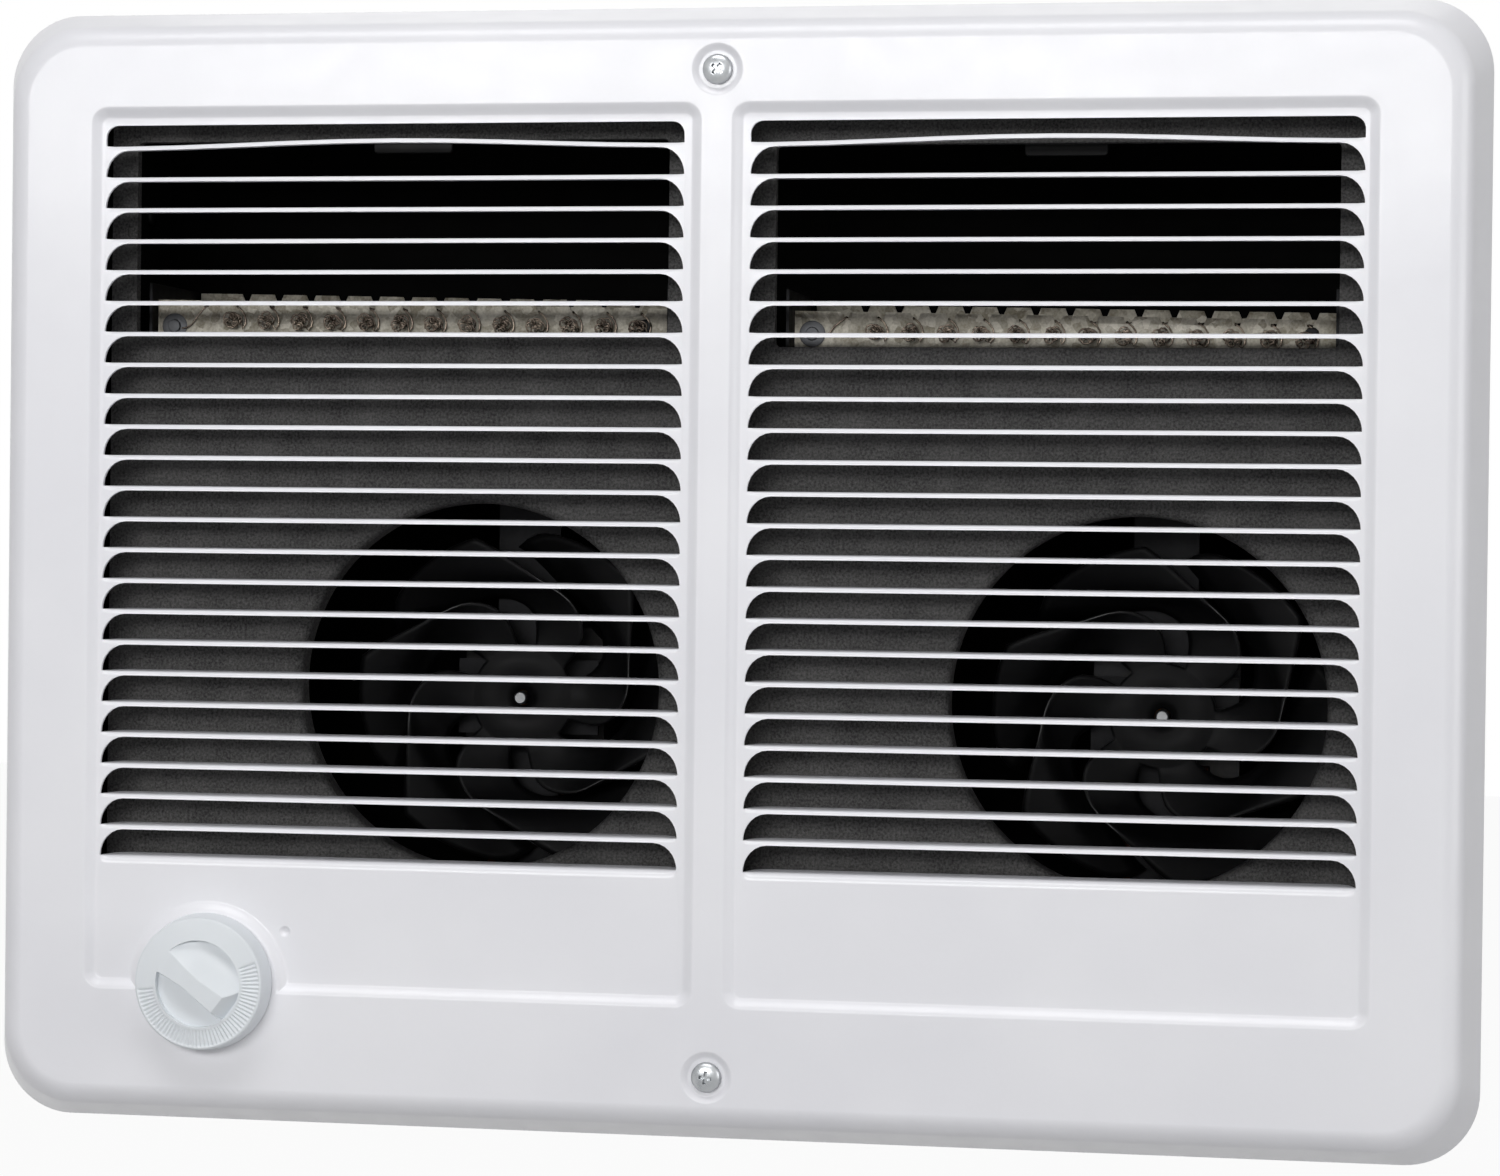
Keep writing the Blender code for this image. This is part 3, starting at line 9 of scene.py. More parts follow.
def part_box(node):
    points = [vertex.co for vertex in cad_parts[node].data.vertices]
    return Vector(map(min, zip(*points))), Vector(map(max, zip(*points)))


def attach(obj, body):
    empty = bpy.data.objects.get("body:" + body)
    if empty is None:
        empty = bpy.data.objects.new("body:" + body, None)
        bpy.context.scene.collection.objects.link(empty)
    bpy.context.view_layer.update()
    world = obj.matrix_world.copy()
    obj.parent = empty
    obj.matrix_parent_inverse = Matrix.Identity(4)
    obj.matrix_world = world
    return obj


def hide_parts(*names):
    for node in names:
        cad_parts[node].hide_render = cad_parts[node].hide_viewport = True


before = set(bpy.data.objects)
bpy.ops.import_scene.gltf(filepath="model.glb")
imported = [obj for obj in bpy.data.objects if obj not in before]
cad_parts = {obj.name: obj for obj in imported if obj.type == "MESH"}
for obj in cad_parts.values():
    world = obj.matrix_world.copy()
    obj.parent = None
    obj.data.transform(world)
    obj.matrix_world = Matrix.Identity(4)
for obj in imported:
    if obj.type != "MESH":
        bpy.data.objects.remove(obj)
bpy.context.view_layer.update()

MM = 0.001
FIT_GAP = 0.0003

# The same levels as in the CAD, in metres
WALL_Y = -0.095
FRONT_Y = -0.115
RECESS_Y = -0.113
DECK_Y = -0.0963
SCREW_LEVELS = (-0.166, 0.166)
UNITS = (("left", -0.1118, 0.0), ("right", 0.1103, -0.0023))


# Camera, at the photograph's place: 1500 x 1176, with its centre on the optical axis

def add_camera():
    data = bpy.data.cameras.new("camera")
    camera = bpy.data.objects.new("camera", data)
    bpy.context.scene.collection.objects.link(camera)
    data.sensor_width = 36.0
    data.lens = 91.2
    yaw, pitch, roll = math.radians(10.08), math.radians(-0.64), math.radians(-0.67)
    facing = Matrix(((1, 0, 0), (0, 0, -1), (0, 1, 0))).to_4x4()
    turn = Matrix.Rotation(yaw, 4, "Z") @ Matrix.Rotation(pitch, 4, "X") @ Matrix.Rotation(roll, 4, "Y")
    camera.matrix_world = Matrix.Translation((0.2314, -1.344, 0.0095)) @ turn @ facing
    bpy.context.scene.camera = camera


add_camera()


# Helpers for meshes

def link(name, mesh, material, body="housing"):
    obj = bpy.data.objects.new(name, mesh)
    bpy.context.scene.collection.objects.link(obj)
    obj.data.materials.append(material)
    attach(obj, body)
    return obj


def finish_mesh(bm, name, smooth_angle=35.0):
    mesh = bpy.data.meshes.new(name)
    bm.to_mesh(mesh)
    bm.free()
    mesh.shade_smooth()
    mesh.set_sharp_from_angle(angle=math.radians(smooth_angle))
    return mesh


def facing_front(x, y, z):
    """A place whose Z axis points out of the wall, at the viewer."""
    return Matrix.Translation((x, y, z)) @ Matrix.Rotation(math.pi / 2, 4, "X")


def arc(centre_x, centre_z, radius, start, end, count):
    steps = [math.radians(start + (end - start) * i / count) for i in range(count + 1)]
    return [(centre_x + radius * math.cos(a), centre_z + radius * math.sin(a)) for a in steps]


def rounded_rectangle(x0, x1, z0, z1, radius, count):
    return (arc(x0 + radius, z0 + radius, radius, 180, 270, count)
            + arc(x1 - radius, z0 + radius, radius, 270, 360, count)
            + arc(x1 - radius, z1 - radius, radius, 0, 90, count)
            + arc(x0 + radius, z1 - radius, radius, 90, 180, count))


def edge_loop(bm, outline, y):
    """The edges of a closed outline in the plane y."""
    verts = [bm.verts.new((x, y, z)) for x, z in outline]
    return [bm.edges.new(pair) for pair in zip(verts, verts[1:] + verts[:1])]


def edge_circle(bm, x, y, z, radius, segments):
    made = bmesh.ops.create_circle(bm, segments=segments, radius=radius, matrix=facing_front(x, y, z))["verts"]
    return list({edge for vert in made for edge in vert.link_edges})


def extrude(bm, edges):
    """Extrude edges where they are; returns the new vertices and edges."""
    old = {vert for edge in edges for vert in edge.verts}
    made = bmesh.ops.extrude_edge_only(bm, edges=edges)["geom"]
    fresh = [item for item in made if isinstance(item, bmesh.types.BMVert) and item not in old]
    row = set(fresh)
    return fresh, [item for item in made if isinstance(item, bmesh.types.BMEdge) and row.issuperset(item.verts)]


def draw_wall(bm, edges, centre, radius, steps):
    """Extrude a circle of edges step by step to each radius and distance back; returns the last circle."""
    x, z = centre
    for new_radius, back in steps:
        verts, edges = extrude(bm, edges)
        share = new_radius / radius
        bmesh.ops.scale(bm, vec=(share, 1, share), space=Matrix.Translation((-x, 0, -z)), verts=verts)
        bmesh.ops.translate(bm, vec=(0, back, 0), verts=verts)
        radius = new_radius
    return edges


def fill_between(bm, loops):
    """Fill the flat area inside the first loop of edges and outside the others."""
    bmesh.ops.triangle_fill(bm, use_beauty=True, edges=[edge for loop in loops for edge in loop],
                            normal=(0.0, -1.0, 0.0))


def face_front(bm):
    bmesh.ops.recalc_face_normals(bm, faces=bm.faces)
    flattest = max(bm.faces, key=lambda face: abs(face.normal.y) * face.calc_area())
    if flattest.normal.y > 0:
        bmesh.ops.reverse_faces(bm, faces=bm.faces)


def thicken(obj, thickness, even=True):
    modifier = obj.modifiers.new("sheet", "SOLIDIFY")
    modifier.thickness = thickness
    modifier.offset = -1.0
    modifier.use_even_offset = even
    modifier.use_quality_normals = even


def soften_edges(obj, width, angle):
    modifier = obj.modifiers.new("edges", "BEVEL")
    modifier.width = width
    modifier.segments = 2
    modifier.limit_method = "ANGLE"
    modifier.angle_limit = math.radians(angle)
    weigh = obj.modifiers.new("normals", "WEIGHTED_NORMAL")
    weigh.keep_sharp = True


def lathe(bm, profile, place, steps):
    """Spin a profile of (radius, height) about place's Z axis."""
    points = [bm.verts.new(place @ Vector((radius, 0.0, height))) for radius, height in profile]
    edges = [bm.edges.new(pair) for pair in zip(points, points[1:])]
    bmesh.ops.spin(bm, geom=points + edges, cent=place.translation, axis=place.to_3x3() @ Vector((0, 0, 1)),
                   dvec=(0, 0, 0), angle=math.tau, steps=steps, use_merge=True, use_normal_flip=False,
                   use_duplicate=False)
    bmesh.ops.remove_doubles(bm, verts=bm.verts, dist=0.000001)


def tube(name, paths, radius, material):
    """Wire along each of the paths, as one piece."""
    curve = bpy.data.curves.new(name, "CURVE")
    curve.dimensions = "3D"
    curve.bevel_depth = radius
    curve.bevel_resolution = 2
    curve.use_fill_caps = True
    for path in paths:
        spline = curve.splines.new("POLY")
        spline.points.add(len(path) - 1)
        spline.use_smooth = True
        for point, spot in zip(spline.points, path):
            point.co = (*spot, 1.0)
    obj = bpy.data.objects.new(name, curve)
    bpy.context.scene.collection.objects.link(obj)
    obj.data.materials.append(material)
    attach(obj, "housing")
    return obj


# Finishes

PER_METRE = 1000.0      # a pattern's scale is this over its real size in millimetres
BANDS_PER_SCALE = 3.2   # a wave texture at scale 1 has this many bands in a metre


def linear(hex_colour):
    values = [int(hex_colour[i:i + 2], 16) / 255 for i in (1, 3, 5)]
    return (*(v / 12.92 if v <= 0.04045 else ((v + 0.055) / 1.055) ** 2.4 for v in values), 1.0)


def add_node(material, kind, inputs, **settings):
    """Add a node with its settings; each input, by name or number, is a constant or the output it is linked from."""
    tree = material.node_tree
    node = tree.nodes.new("ShaderNode" + kind)
    for key, value in settings.items():
        setattr(node, key, value)
    for key, value in inputs.items():
        socket = next(socket for number, socket in enumerate(node.inputs)
                      if key in (socket.name, number) and socket.enabled)
        if isinstance(value, bpy.types.NodeSocket):
            tree.links.new(value, socket)
        else:
            socket.default_value = value
    return node


def new_material(name):
    material = bpy.data.materials.new(name)
    material.use_nodes = True
    material.node_tree.nodes.clear()
    return material


def smooth_coat(name, low, high, roughness, peel_mm, peel_depth, coat=0.0, specular=0.5):
    """Stoved enamel, or a moulding with a fine tool finish: even colour, soft gloss, faint orange peel."""
    material = new_material(name)
    place = add_node(material, "TexCoord", {}).outputs["Object"]
    # Colour drifts over a hand's breadth, gloss over a thumb's
    drift = add_node(material, "TexNoise", {"Vector": place, "Scale": PER_METRE / 70, "Detail": 2.0}).outputs["Fac"]
    tone = add_node(material, "MapRange", {"Value": drift, "From Min": 0.3, "From Max": 0.7}).outputs[0]
    colour = add_node(material, "Mix", {"Factor": tone, "A": linear(low), "B": linear(high)},
                      data_type="RGBA").outputs[2]
    rub = add_node(material, "TexNoise", {"Vector": place, "Scale": PER_METRE / 9, "Detail": 4.0}).outputs["Fac"]
    gloss = add_node(material, "MapRange", {"Value": rub, "From Min": 0.3, "From Max": 0.7,
                                            "To Min": roughness - 0.04, "To Max": roughness + 0.05}).outputs[0]
    peel = add_node(material, "TexNoise", {"Vector": place, "Scale": PER_METRE / peel_mm}).outputs["Fac"]
    bump = add_node(material, "Bump", {"Height": peel, "Distance": peel_depth * MM}).outputs[0]
    shader = add_node(material, "BsdfPrincipled", {"Base Color": colour, "Roughness": gloss, "Normal": bump,
                                                   "Specular IOR Level": specular, "Coat Weight": coat,
                                                   "Coat Roughness": 0.12})
    add_node(material, "OutputMaterial", {"Surface": shader.outputs["BSDF"]})
    return material


def powder_coat(name, low, high, roughness):
    """Sand-textured powder coat: a dry grain, glossier on its high spots, with painted shade that darkens its
    hollows.
    """
    material = new_material(name)
    place = add_node(material, "TexCoord", {}).outputs["Object"]
    # The real grain is 0.3 to 0.5 mm; 0.9 mm is the finest that still shows at this distance
    grain = add_node(material, "TexNoise", {"Vector": place, "Scale": PER_METRE / 0.9, "Detail": 5.0,
                                            "Roughness": 0.65}).outputs["Fac"]
    patches = add_node(material, "TexNoise", {"Vector": place, "Scale": PER_METRE / 14, "Detail": 3.0}).outputs["Fac"]
    # Colour follows the grain's height: painted shade in its hollows, over tone that drifts in patches
    patches_and_grain_shade = add_node(material, "Mix", {"Factor": 0.75, "A": patches, "B": grain}).outputs[0]
    tone = add_node(material, "MapRange", {"Value": patches_and_grain_shade, "From Min": 0.37, "From Max": 0.64}).outputs[0]
    colour = add_node(material, "Mix", {"Factor": tone, "A": linear(low), "B": linear(high)},
                      data_type="RGBA").outputs[2]
    gloss = add_node(material, "MapRange", {"Value": grain, "From Min": 0.3, "From Max": 0.7,
                                            "To Min": roughness + 0.08, "To Max": roughness - 0.08}).outputs[0]
    bump = add_node(material, "Bump", {"Height": grain, "Distance": 0.16 * MM}).outputs[0]
    shader = add_node(material, "BsdfPrincipled", {"Base Color": colour, "Roughness": gloss, "Normal": bump,
                                                   "Specular IOR Level": 0.15})
    add_node(material, "OutputMaterial", {"Surface": shader.outputs["BSDF"]})
    return material


def can_steel(name, low, high, roughness):
    """Hot-dip galvanised sheet, its zinc crystals of varied tone outside; inside the can, painted shade: near black,
    for how little light gets in there.
    """
    material = new_material(name)
    place = add_node(material, "TexCoord", {}).outputs["Object"]
    # Spangle about 5 mm across, and rolling lines 0.6 mm apart along the sheet
    cells = add_node(material, "TexVoronoi", {"Vector": place, "Scale": PER_METRE / 5}).outputs["Color"]
    crystal = add_node(material, "RGBToBW", {"Color": cells}).outputs[0]
    tone = add_node(material, "MapRange", {"Value": crystal, "From Min": 0.2, "From Max": 0.8}).outputs[0]
    zinc = add_node(material, "Mix", {"Factor": tone, "A": linear(low), "B": linear(high)},
                    data_type="RGBA").outputs[2]
    along = add_node(material, "Mapping", {"Vector": place, "Scale": (0.04, 1.0, 1.0)}).outputs[0]
    lines = add_node(material, "TexNoise", {"Vector": along, "Scale": PER_METRE / 0.6}).outputs["Fac"]
    # Painted shade inside the can: near black with a faint mottle, for how little light reaches in there
    shade_mottle = add_node(material, "TexNoise", {"Vector": place, "Scale": PER_METRE / 12}).outputs["Fac"]
    black = add_node(material, "Mix", {"Factor": shade_mottle, "A": linear("#060606"), "B": linear("#0d0d0d")},
                     data_type="RGBA").outputs[2]
    # Outside is where the sheet's outer skin lies, 0.1 mm inside the can's own box; the rest, inside, takes the
    # painted shade
    axes = add_node(material, "SeparateXYZ", {"Vector": place}).outputs
    outside = 0.0
    for axis, half, middle in (("X", 0.2264, 0.0), ("Z", 0.1744, 0.0), ("Y", 0.0479, -0.0485)):
        away = add_node(material, "Math", {0: axes[axis], 1: middle}, operation="SUBTRACT").outputs[0]
        away = add_node(material, "Math", {0: away}, operation="ABSOLUTE").outputs[0]
        past = add_node(material, "Math", {0: away, 1: half}, operation="GREATER_THAN").outputs[0]
        outside = add_node(material, "Math", {0: outside, 1: past}, operation="MAXIMUM").outputs[0]
    colour = add_node(material, "Mix", {"Factor": outside, "A": black, "B": zinc}, data_type="RGBA").outputs[2]
    shine = add_node(material, "MapRange", {"Value": tone, "To Min": roughness - 0.08,
                                            "To Max": roughness + 0.1}).outputs[0]
    gloss = add_node(material, "Mix", {"Factor": outside, "A": 0.9, "B": shine}).outputs[0]
    bump = add_node(material, "Bump", {"Height": lines, "Distance": 0.004 * MM}).outputs[0]
    shader = add_node(material, "BsdfPrincipled", {"Base Color": colour, "Metallic": outside, "Roughness": gloss,
                                                   "Normal": bump, "Specular IOR Level": 0.05})
    add_node(material, "OutputMaterial", {"Surface": shader.outputs["BSDF"]})
    return material


def worked_metal(name, low, high, roughness, grain_mm=0.5, depth=0.004):
    """Plated, ground or drawn metal: a fine grain from its working, and tone that drifts with handling."""
    material = new_material(name)
    place = add_node(material, "TexCoord", {}).outputs["Object"]
    grain = add_node(material, "TexNoise", {"Vector": place, "Scale": PER_METRE / grain_mm}).outputs["Fac"]
    drift = add_node(material, "TexNoise", {"Vector": place, "Scale": PER_METRE / 5, "Detail": 3.0}).outputs["Fac"]
    tone = add_node(material, "MapRange", {"Value": drift, "From Min": 0.3, "From Max": 0.7}).outputs[0]
    colour = add_node(material, "Mix", {"Factor": tone, "A": linear(low), "B": linear(high)},
                      data_type="RGBA").outputs[2]
    gloss = add_node(material, "MapRange", {"Value": tone, "To Min": roughness - 0.06,
                                            "To Max": roughness + 0.08}).outputs[0]
    bump = add_node(material, "Bump", {"Height": grain, "Distance": depth * MM}).outputs[0]
    shader = add_node(material, "BsdfPrincipled", {"Base Color": colour, "Metallic": 1.0, "Roughness": gloss,
                                                   "Normal": bump})
    add_node(material, "OutputMaterial", {"Surface": shader.outputs["BSDF"]})
    return material


def pressed_mica(name):
    """Mica board: pale flakes pressed flat over each other, with dark seams, heat stains and a pearly gloss."""
    material = new_material(name)
    place = add_node(material, "TexCoord", {}).outputs["Object"]
    # Flakes 2 to 3 mm across, their edges ragged by 0.6 mm
    ragged = add_node(material, "TexNoise", {"Vector": place, "Scale": PER_METRE / 1.1}).outputs["Color"]
    bent = add_node(material, "Mix", {"Factor": 0.0006, "A": place, "B": ragged}, data_type="VECTOR").outputs[1]
    cells = add_node(material, "TexVoronoi", {"Vector": bent, "Scale": PER_METRE / 2.6}).outputs["Color"]
    flake = add_node(material, "RGBToBW", {"Color": cells}).outputs[0]
    stain = add_node(material, "TexNoise", {"Vector": place, "Scale": PER_METRE / 7, "Detail": 4.0}).outputs["Fac"]
    specks = add_node(material, "TexNoise", {"Vector": place, "Scale": PER_METRE / 0.9, "Detail": 3.0}).outputs["Fac"]
    both = add_node(material, "Mix", {"Factor": 0.45, "A": flake, "B": stain}).outputs[0]
    both = add_node(material, "Mix", {"Factor": 0.4, "A": both, "B": specks}).outputs[0]
    tone = add_node(material, "MapRange", {"Value": both, "From Min": 0.33, "From Max": 0.66}).outputs[0]
    colour = add_node(material, "Mix", {"Factor": tone, "A": linear("#87806f"), "B": linear("#d2cdbf")},
                      data_type="RGBA").outputs[2]
    gloss = add_node(material, "MapRange", {"Value": flake, "To Min": 0.32, "To Max": 0.6}).outputs[0]
    bump = add_node(material, "Bump", {"Height": both, "Distance": 0.08 * MM}).outputs[0]
    shader = add_node(material, "BsdfPrincipled", {"Base Color": colour, "Roughness": gloss, "Normal": bump})
    add_node(material, "OutputMaterial", {"Surface": shader.outputs["BSDF"]})
    return material


def layered_metal(name, low, high, roughness, pitch_mm, direction, relief_mm, metallic, coat):
    """Thin layers side by side, such as stacked iron sheets or wound wire, with a groove between each two."""
    material = new_material(name)
    place = add_node(material, "TexCoord", {}).outputs["Object"]
    layers = add_node(material, "TexWave", {"Vector": place, "Scale": PER_METRE / pitch_mm / BANDS_PER_SCALE,
                                            "Distortion": 0.6}, bands_direction=direction).outputs["Fac"]
    drift = add_node(material, "TexNoise", {"Vector": place, "Scale": PER_METRE / 5, "Detail": 4.0}).outputs["Fac"]
    both = add_node(material, "Mix", {"Factor": 0.6, "A": layers, "B": drift}).outputs[0]
    tone = add_node(material, "MapRange", {"Value": both, "From Min": 0.25, "From Max": 0.75}).outputs[0]
    colour = add_node(material, "Mix", {"Factor": tone, "A": linear(low), "B": linear(high)},
                      data_type="RGBA").outputs[2]
    gloss = add_node(material, "MapRange", {"Value": drift, "From Min": 0.3, "From Max": 0.7,
                                            "To Min": roughness - 0.07, "To Max": roughness + 0.1}).outputs[0]
    bump = add_node(material, "Bump", {"Height": layers, "Distance": relief_mm * MM}).outputs[0]
    shader = add_node(material, "BsdfPrincipled", {"Base Color": colour, "Metallic": metallic, "Roughness": gloss,
                                                   "Normal": bump, "Coat Weight": coat, "Coat Roughness": 0.15})
    add_node(material, "OutputMaterial", {"Surface": shader.outputs["BSDF"]})
    return material


# Stoved white enamel on steel: cool white, satin, with a thin clear gloss over a 1.6 mm orange peel
WHITE_ENAMEL = smooth_coat("white_enamel", "#e9e9ee", "#efeff3", 0.36, 1.6, 0.012, coat=0.25)
# Moulded ABS: a shade bluer and duller than the enamel, its tool texture about 0.9 mm
WHITE_ABS = smooth_coat("white_abs", "#dfe4e8", "#e6eaee", 0.40, 0.9, 0.006)
# Black dip paint on the stamped fan: soft runs 2 mm wide, so dark that only edges show. On the outlet tab the same
# near black is painted shade, for the shade it lies in behind the louvres
BLACK_PAINT_AND_SHADE = smooth_coat("black_paint_and_tab_shade", "#070708", "#0f0f10", 0.45, 2.2, 0.03, specular=0.1)
# Moulded phenolic: black with a dull polish
PHENOLIC = smooth_coat("moulded_phenolic", "#141415", "#1f1f20", 0.38, 0.8, 0.01)
# Powder coat on the decks: dark warm grey
CHARCOAL = powder_coat("charcoal_powder_coat", "#262626", "#5a5958", 0.58)
CAN_STEEL = can_steel("galvanised_can_steel", "#85888b", "#9c9fa2", 0.42)
# Heat-blackened steel: blue-grey, with only a dull shine left
BLACK_STEEL = worked_metal("blackened_steel", "#1b1b1c", "#29292a", 0.55)
# Die-cast zinc: dull mid grey
DIE_CAST = worked_metal("die_cast_zinc", "#4b4c4e", "#646567", 0.6)
# Bright zinc plate: pale and slightly milky
ZINC = worked_metal("zinc_plate", "#9a9da0", "#b9bbbd", 0.30)
GREEN_ZINC = worked_metal("green_zinc_plate", "#1f6b35", "#2c8446", 0.34)
# Paint worn off the blades' cut edges: dull grey steel
WORN_EDGE = worked_metal("worn_paint_edge", "#3c3c3c", "#585858", 0.42)
# Ground steel, dulled by dust and heat, with a grain of 0.3 mm
GROUND_STEEL = worked_metal("ground_steel", "#7b7c7d", "#98999a", 0.34, 0.3)
# Sintered bronze: matt brown-gold, open pores of 0.3 mm
BRONZE = worked_metal("sintered_bronze", "#8a5f34", "#a87c4b", 0.42, 0.3, 0.02)
# Nickel-chrome wire, oxidised brown by heat but still bright where it curves to the light
NICHROME = worked_metal("nichrome_wire", "#4a4039", "#8d8174", 0.24, 0.4)
# Stacked iron sheets 0.6 mm thick, drawn 1 mm thick so that they show, with rusty edges
STACKED_IRON = layered_metal("stacked_iron", "#262627", "#4a4845", 0.5, 1.0, "Y", 0.05, 1.0, 0.0)
# Enamelled copper wire 0.4 mm thick, drawn 0.65 mm: dark red-brown under a glossy varnish
COPPER_WIRE = layered_metal("enamelled_copper_wire", "#4a2413", "#6b3820", 0.35, 0.65, "X", 0.2, 0.7, 0.6)
MICA = pressed_mica("pressed_mica")

for nodes, material in (
        (("wall_can",), CAN_STEEL),
        (("element_cheek_a_left", "element_cheek_b_left", "element_cheek_a_right", "element_cheek_b_right",
          "element_terminal_b_left", "element_terminal_b_right", "motor_strap_left", "motor_strap_right",
          "bearing_bridge_front_left", "bearing_bridge_rear_left", "bearing_bridge_front_right",
          "bearing_bridge_rear_right", "motor_bolt_a_left", "motor_bolt_b_left", "motor_bolt_a_right",
          "motor_bolt_b_right"), BLACK_STEEL),
        (("cable_connector", "cable_locknut", "element_terminal_a_left", "element_terminal_a_right"), DIE_CAST),
        (("thermostat_nut", "deck_screw_top_left", "deck_screw_bottom_left", "deck_screw_top_right",
          "deck_screw_bottom_right"), ZINC),
        (("sleeve_bearing_front_left", "sleeve_bearing_rear_left", "sleeve_bearing_front_right",
          "sleeve_bearing_rear_right", "thermostat_bush"), BRONZE),
        (("motor_shaft_left", "motor_shaft_right", "thermostat_shaft"), GROUND_STEEL),
        (("rotor_left", "rotor_right", "stator_stack_left", "stator_stack_right"), STACKED_IRON),
        (("winding_left", "winding_right"), COPPER_WIRE),
        (("limit_cutout_left", "limit_cutout_right", "thermostat_body"), PHENOLIC),
        (("earth_screw",), GREEN_ZINC)):
    for name in nodes:
        for material_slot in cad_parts[name].material_slots:
            material_slot.material = material


# Grille cover

SHEET = 0.0012
SLOT_OUTER, SLOT_INNER = 0.2107, 0.0111
SLOT_COUNT = 24
SLOT_PITCH = 0.01045
FIRST_SILL = 0.1422
FIRST_SLOT_HEIGHT, FIRST_SLOT_CORNER = 0.007, 0.0042
LOUVRE_FACE = 0.0015
LOUVRE_ANGLE = math.radians(88)
LOUVRE_CORNER = 0.008
PAN_BASE, PAN_FRONT = (0.251, 0.189), (0.2432, 0.1812)     # half its width and height
PAN_CORNER, PAN_EDGE = 0.023, 0.0058
PIP_X, PIP_Z, PIP_RADIUS = -0.1451, -0.1222, 0.0021
DIMPLE_RADIUS, DIMPLE_SLOPE, DIMPLE_DEPTH = 0.0088, 0.0027, 0.0012
FOLD_STEPS = 6
KNOB_X, KNOB_Z = -0.1718, -0.1395
BOSS_DROP = 0.0012        # the boss sits a little lower than the knob
SLOPE_STEPS = (0.0, 0.12, 0.3, 0.5, 0.7, 0.88, 1.0)


def smooth(u):
    return u * u * (3 - 2 * u)


def recess_outline(side, inset):
    """Outline of a recess; the left one steps round the knob's boss."""
    low_x, high_x = (-0.2147, -0.0058) if side < 0 else (0.0058, 0.2147)
    x0, x1, z0, z1 = low_x + inset, high_x - inset, -0.1424 + inset, 0.1545 - inset
    outline = rounded_rectangle(x0, x1, z0, z1, 0.005 - inset, 6)
    if side > 0:
        return outline
    boss, boss_z = 0.0252 + inset, KNOB_Z - BOSS_DROP
    reach = math.degrees(math.asin((z0 - boss_z) / boss))
    return outline[:7] + arc(KNOB_X, boss_z, boss, 180 - reach, reach, 48) + outline[7:]


def press_recess(bm, side):
    """A pressed wall with soft shoulders, 4 mm wide; returns its outer and inner loops."""
    loops = [edge_loop(bm, recess_outline(side, -0.001 + 0.004 * u), FRONT_Y + 0.002 * smooth(u))
             for u in SLOPE_STEPS]
    for outer, inner in zip(loops, loops[1:]):
        bmesh.ops.bridge_loops(bm, edges=outer + inner)
    return loops[0], loops[-1]


def louvre_stations(x0, x1):
    """Places along a louvre, close together round its corners."""
    insets = [LOUVRE_CORNER * (1 - math.cos(math.radians(a))) for a in (0, 4, 9, 15, 24, 34, 46, 60, 75, 90)]
    middle = [x0 + LOUVRE_CORNER + (x1 - x0 - 2 * LOUVRE_CORNER) * i / 10 for i in range(1, 10)]
    return [x0 + inset for inset in insets] + middle + [x1 - inset for inset in insets[::-1]]


def slot_share(x, x0, x1, corner):
    """Share of a slot's height that is cut out at x, less round its upper corners."""
    inset = min(x - x0, x1 - x, corner) / corner
    return math.sqrt(max(0.0, 1 - (1 - inset) ** 2))


def louvre_section(x, x0, x1, index):
    """A louvre's section at x: up its face, round its fold and back along its tongue."""
    inset = min(x - x0, x1 - x)
    across = (x - (x0 + x1) / 2) / (x1 - x0)
    ease = smooth(min(1.0, inset / 0.0025))
    sill = FIRST_SILL - index * SLOT_PITCH
    fold_radius = 0.0026 if index == SLOT_COUNT - 1 else 0.0013
    low = sill - fold_radius - 0.0003
    top = sill + ease * 0.0001 * noise.noise(Vector((x * 9, index * 3.7, x0 * 5)))
    if index == 0:
        top += 0.0022 * math.cos(math.pi * across) ** 2
    if index < SLOT_COUNT - 1:
        low = sill - SLOT_PITCH
        low += (top - LOUVRE_FACE - low) * slot_share(x, x0, x1, LOUVRE_CORNER)
    section = [(x, RECESS_Y, low)]
    for step in range(FOLD_STEPS + 1):
        angle = math.pi / 2 * step / FOLD_STEPS
        section.append((x, RECESS_Y + fold_radius * (1 - math.cos(angle)) * ease,
                        top - fold_radius * (1 - math.sin(angle))))
    if inset > 0:
        length = (SLOT_PITCH - LOUVRE_FACE) * slot_share(x, x0, x1, LOUVRE_CORNER)
        if index == 0:
            length = FIRST_SLOT_HEIGHT - FIRST_SLOT_CORNER * (1 - slot_share(x, x0, x1, FIRST_SLOT_CORNER))
        for reach in (length * share for share in (0.33, 0.67, 1.0)):
            section.append((x, section[FOLD_STEPS + 1][1] + reach * math.sin(LOUVRE_ANGLE),
                            top + reach * math.cos(LOUVRE_ANGLE)))
    return section


def skin(bm, first, second):
    """Faces between two columns of points; one that ends early comes to a point there."""
    for row in range(max(len(first), len(second)) - 1):
        corners = []
        for column, place in ((first, row), (second, row), (second, row + 1), (first, row + 1)):
            vert = column[min(place, len(column) - 1)]
            if vert not in corners:
                corners.append(vert)
        bm.faces.new(corners)


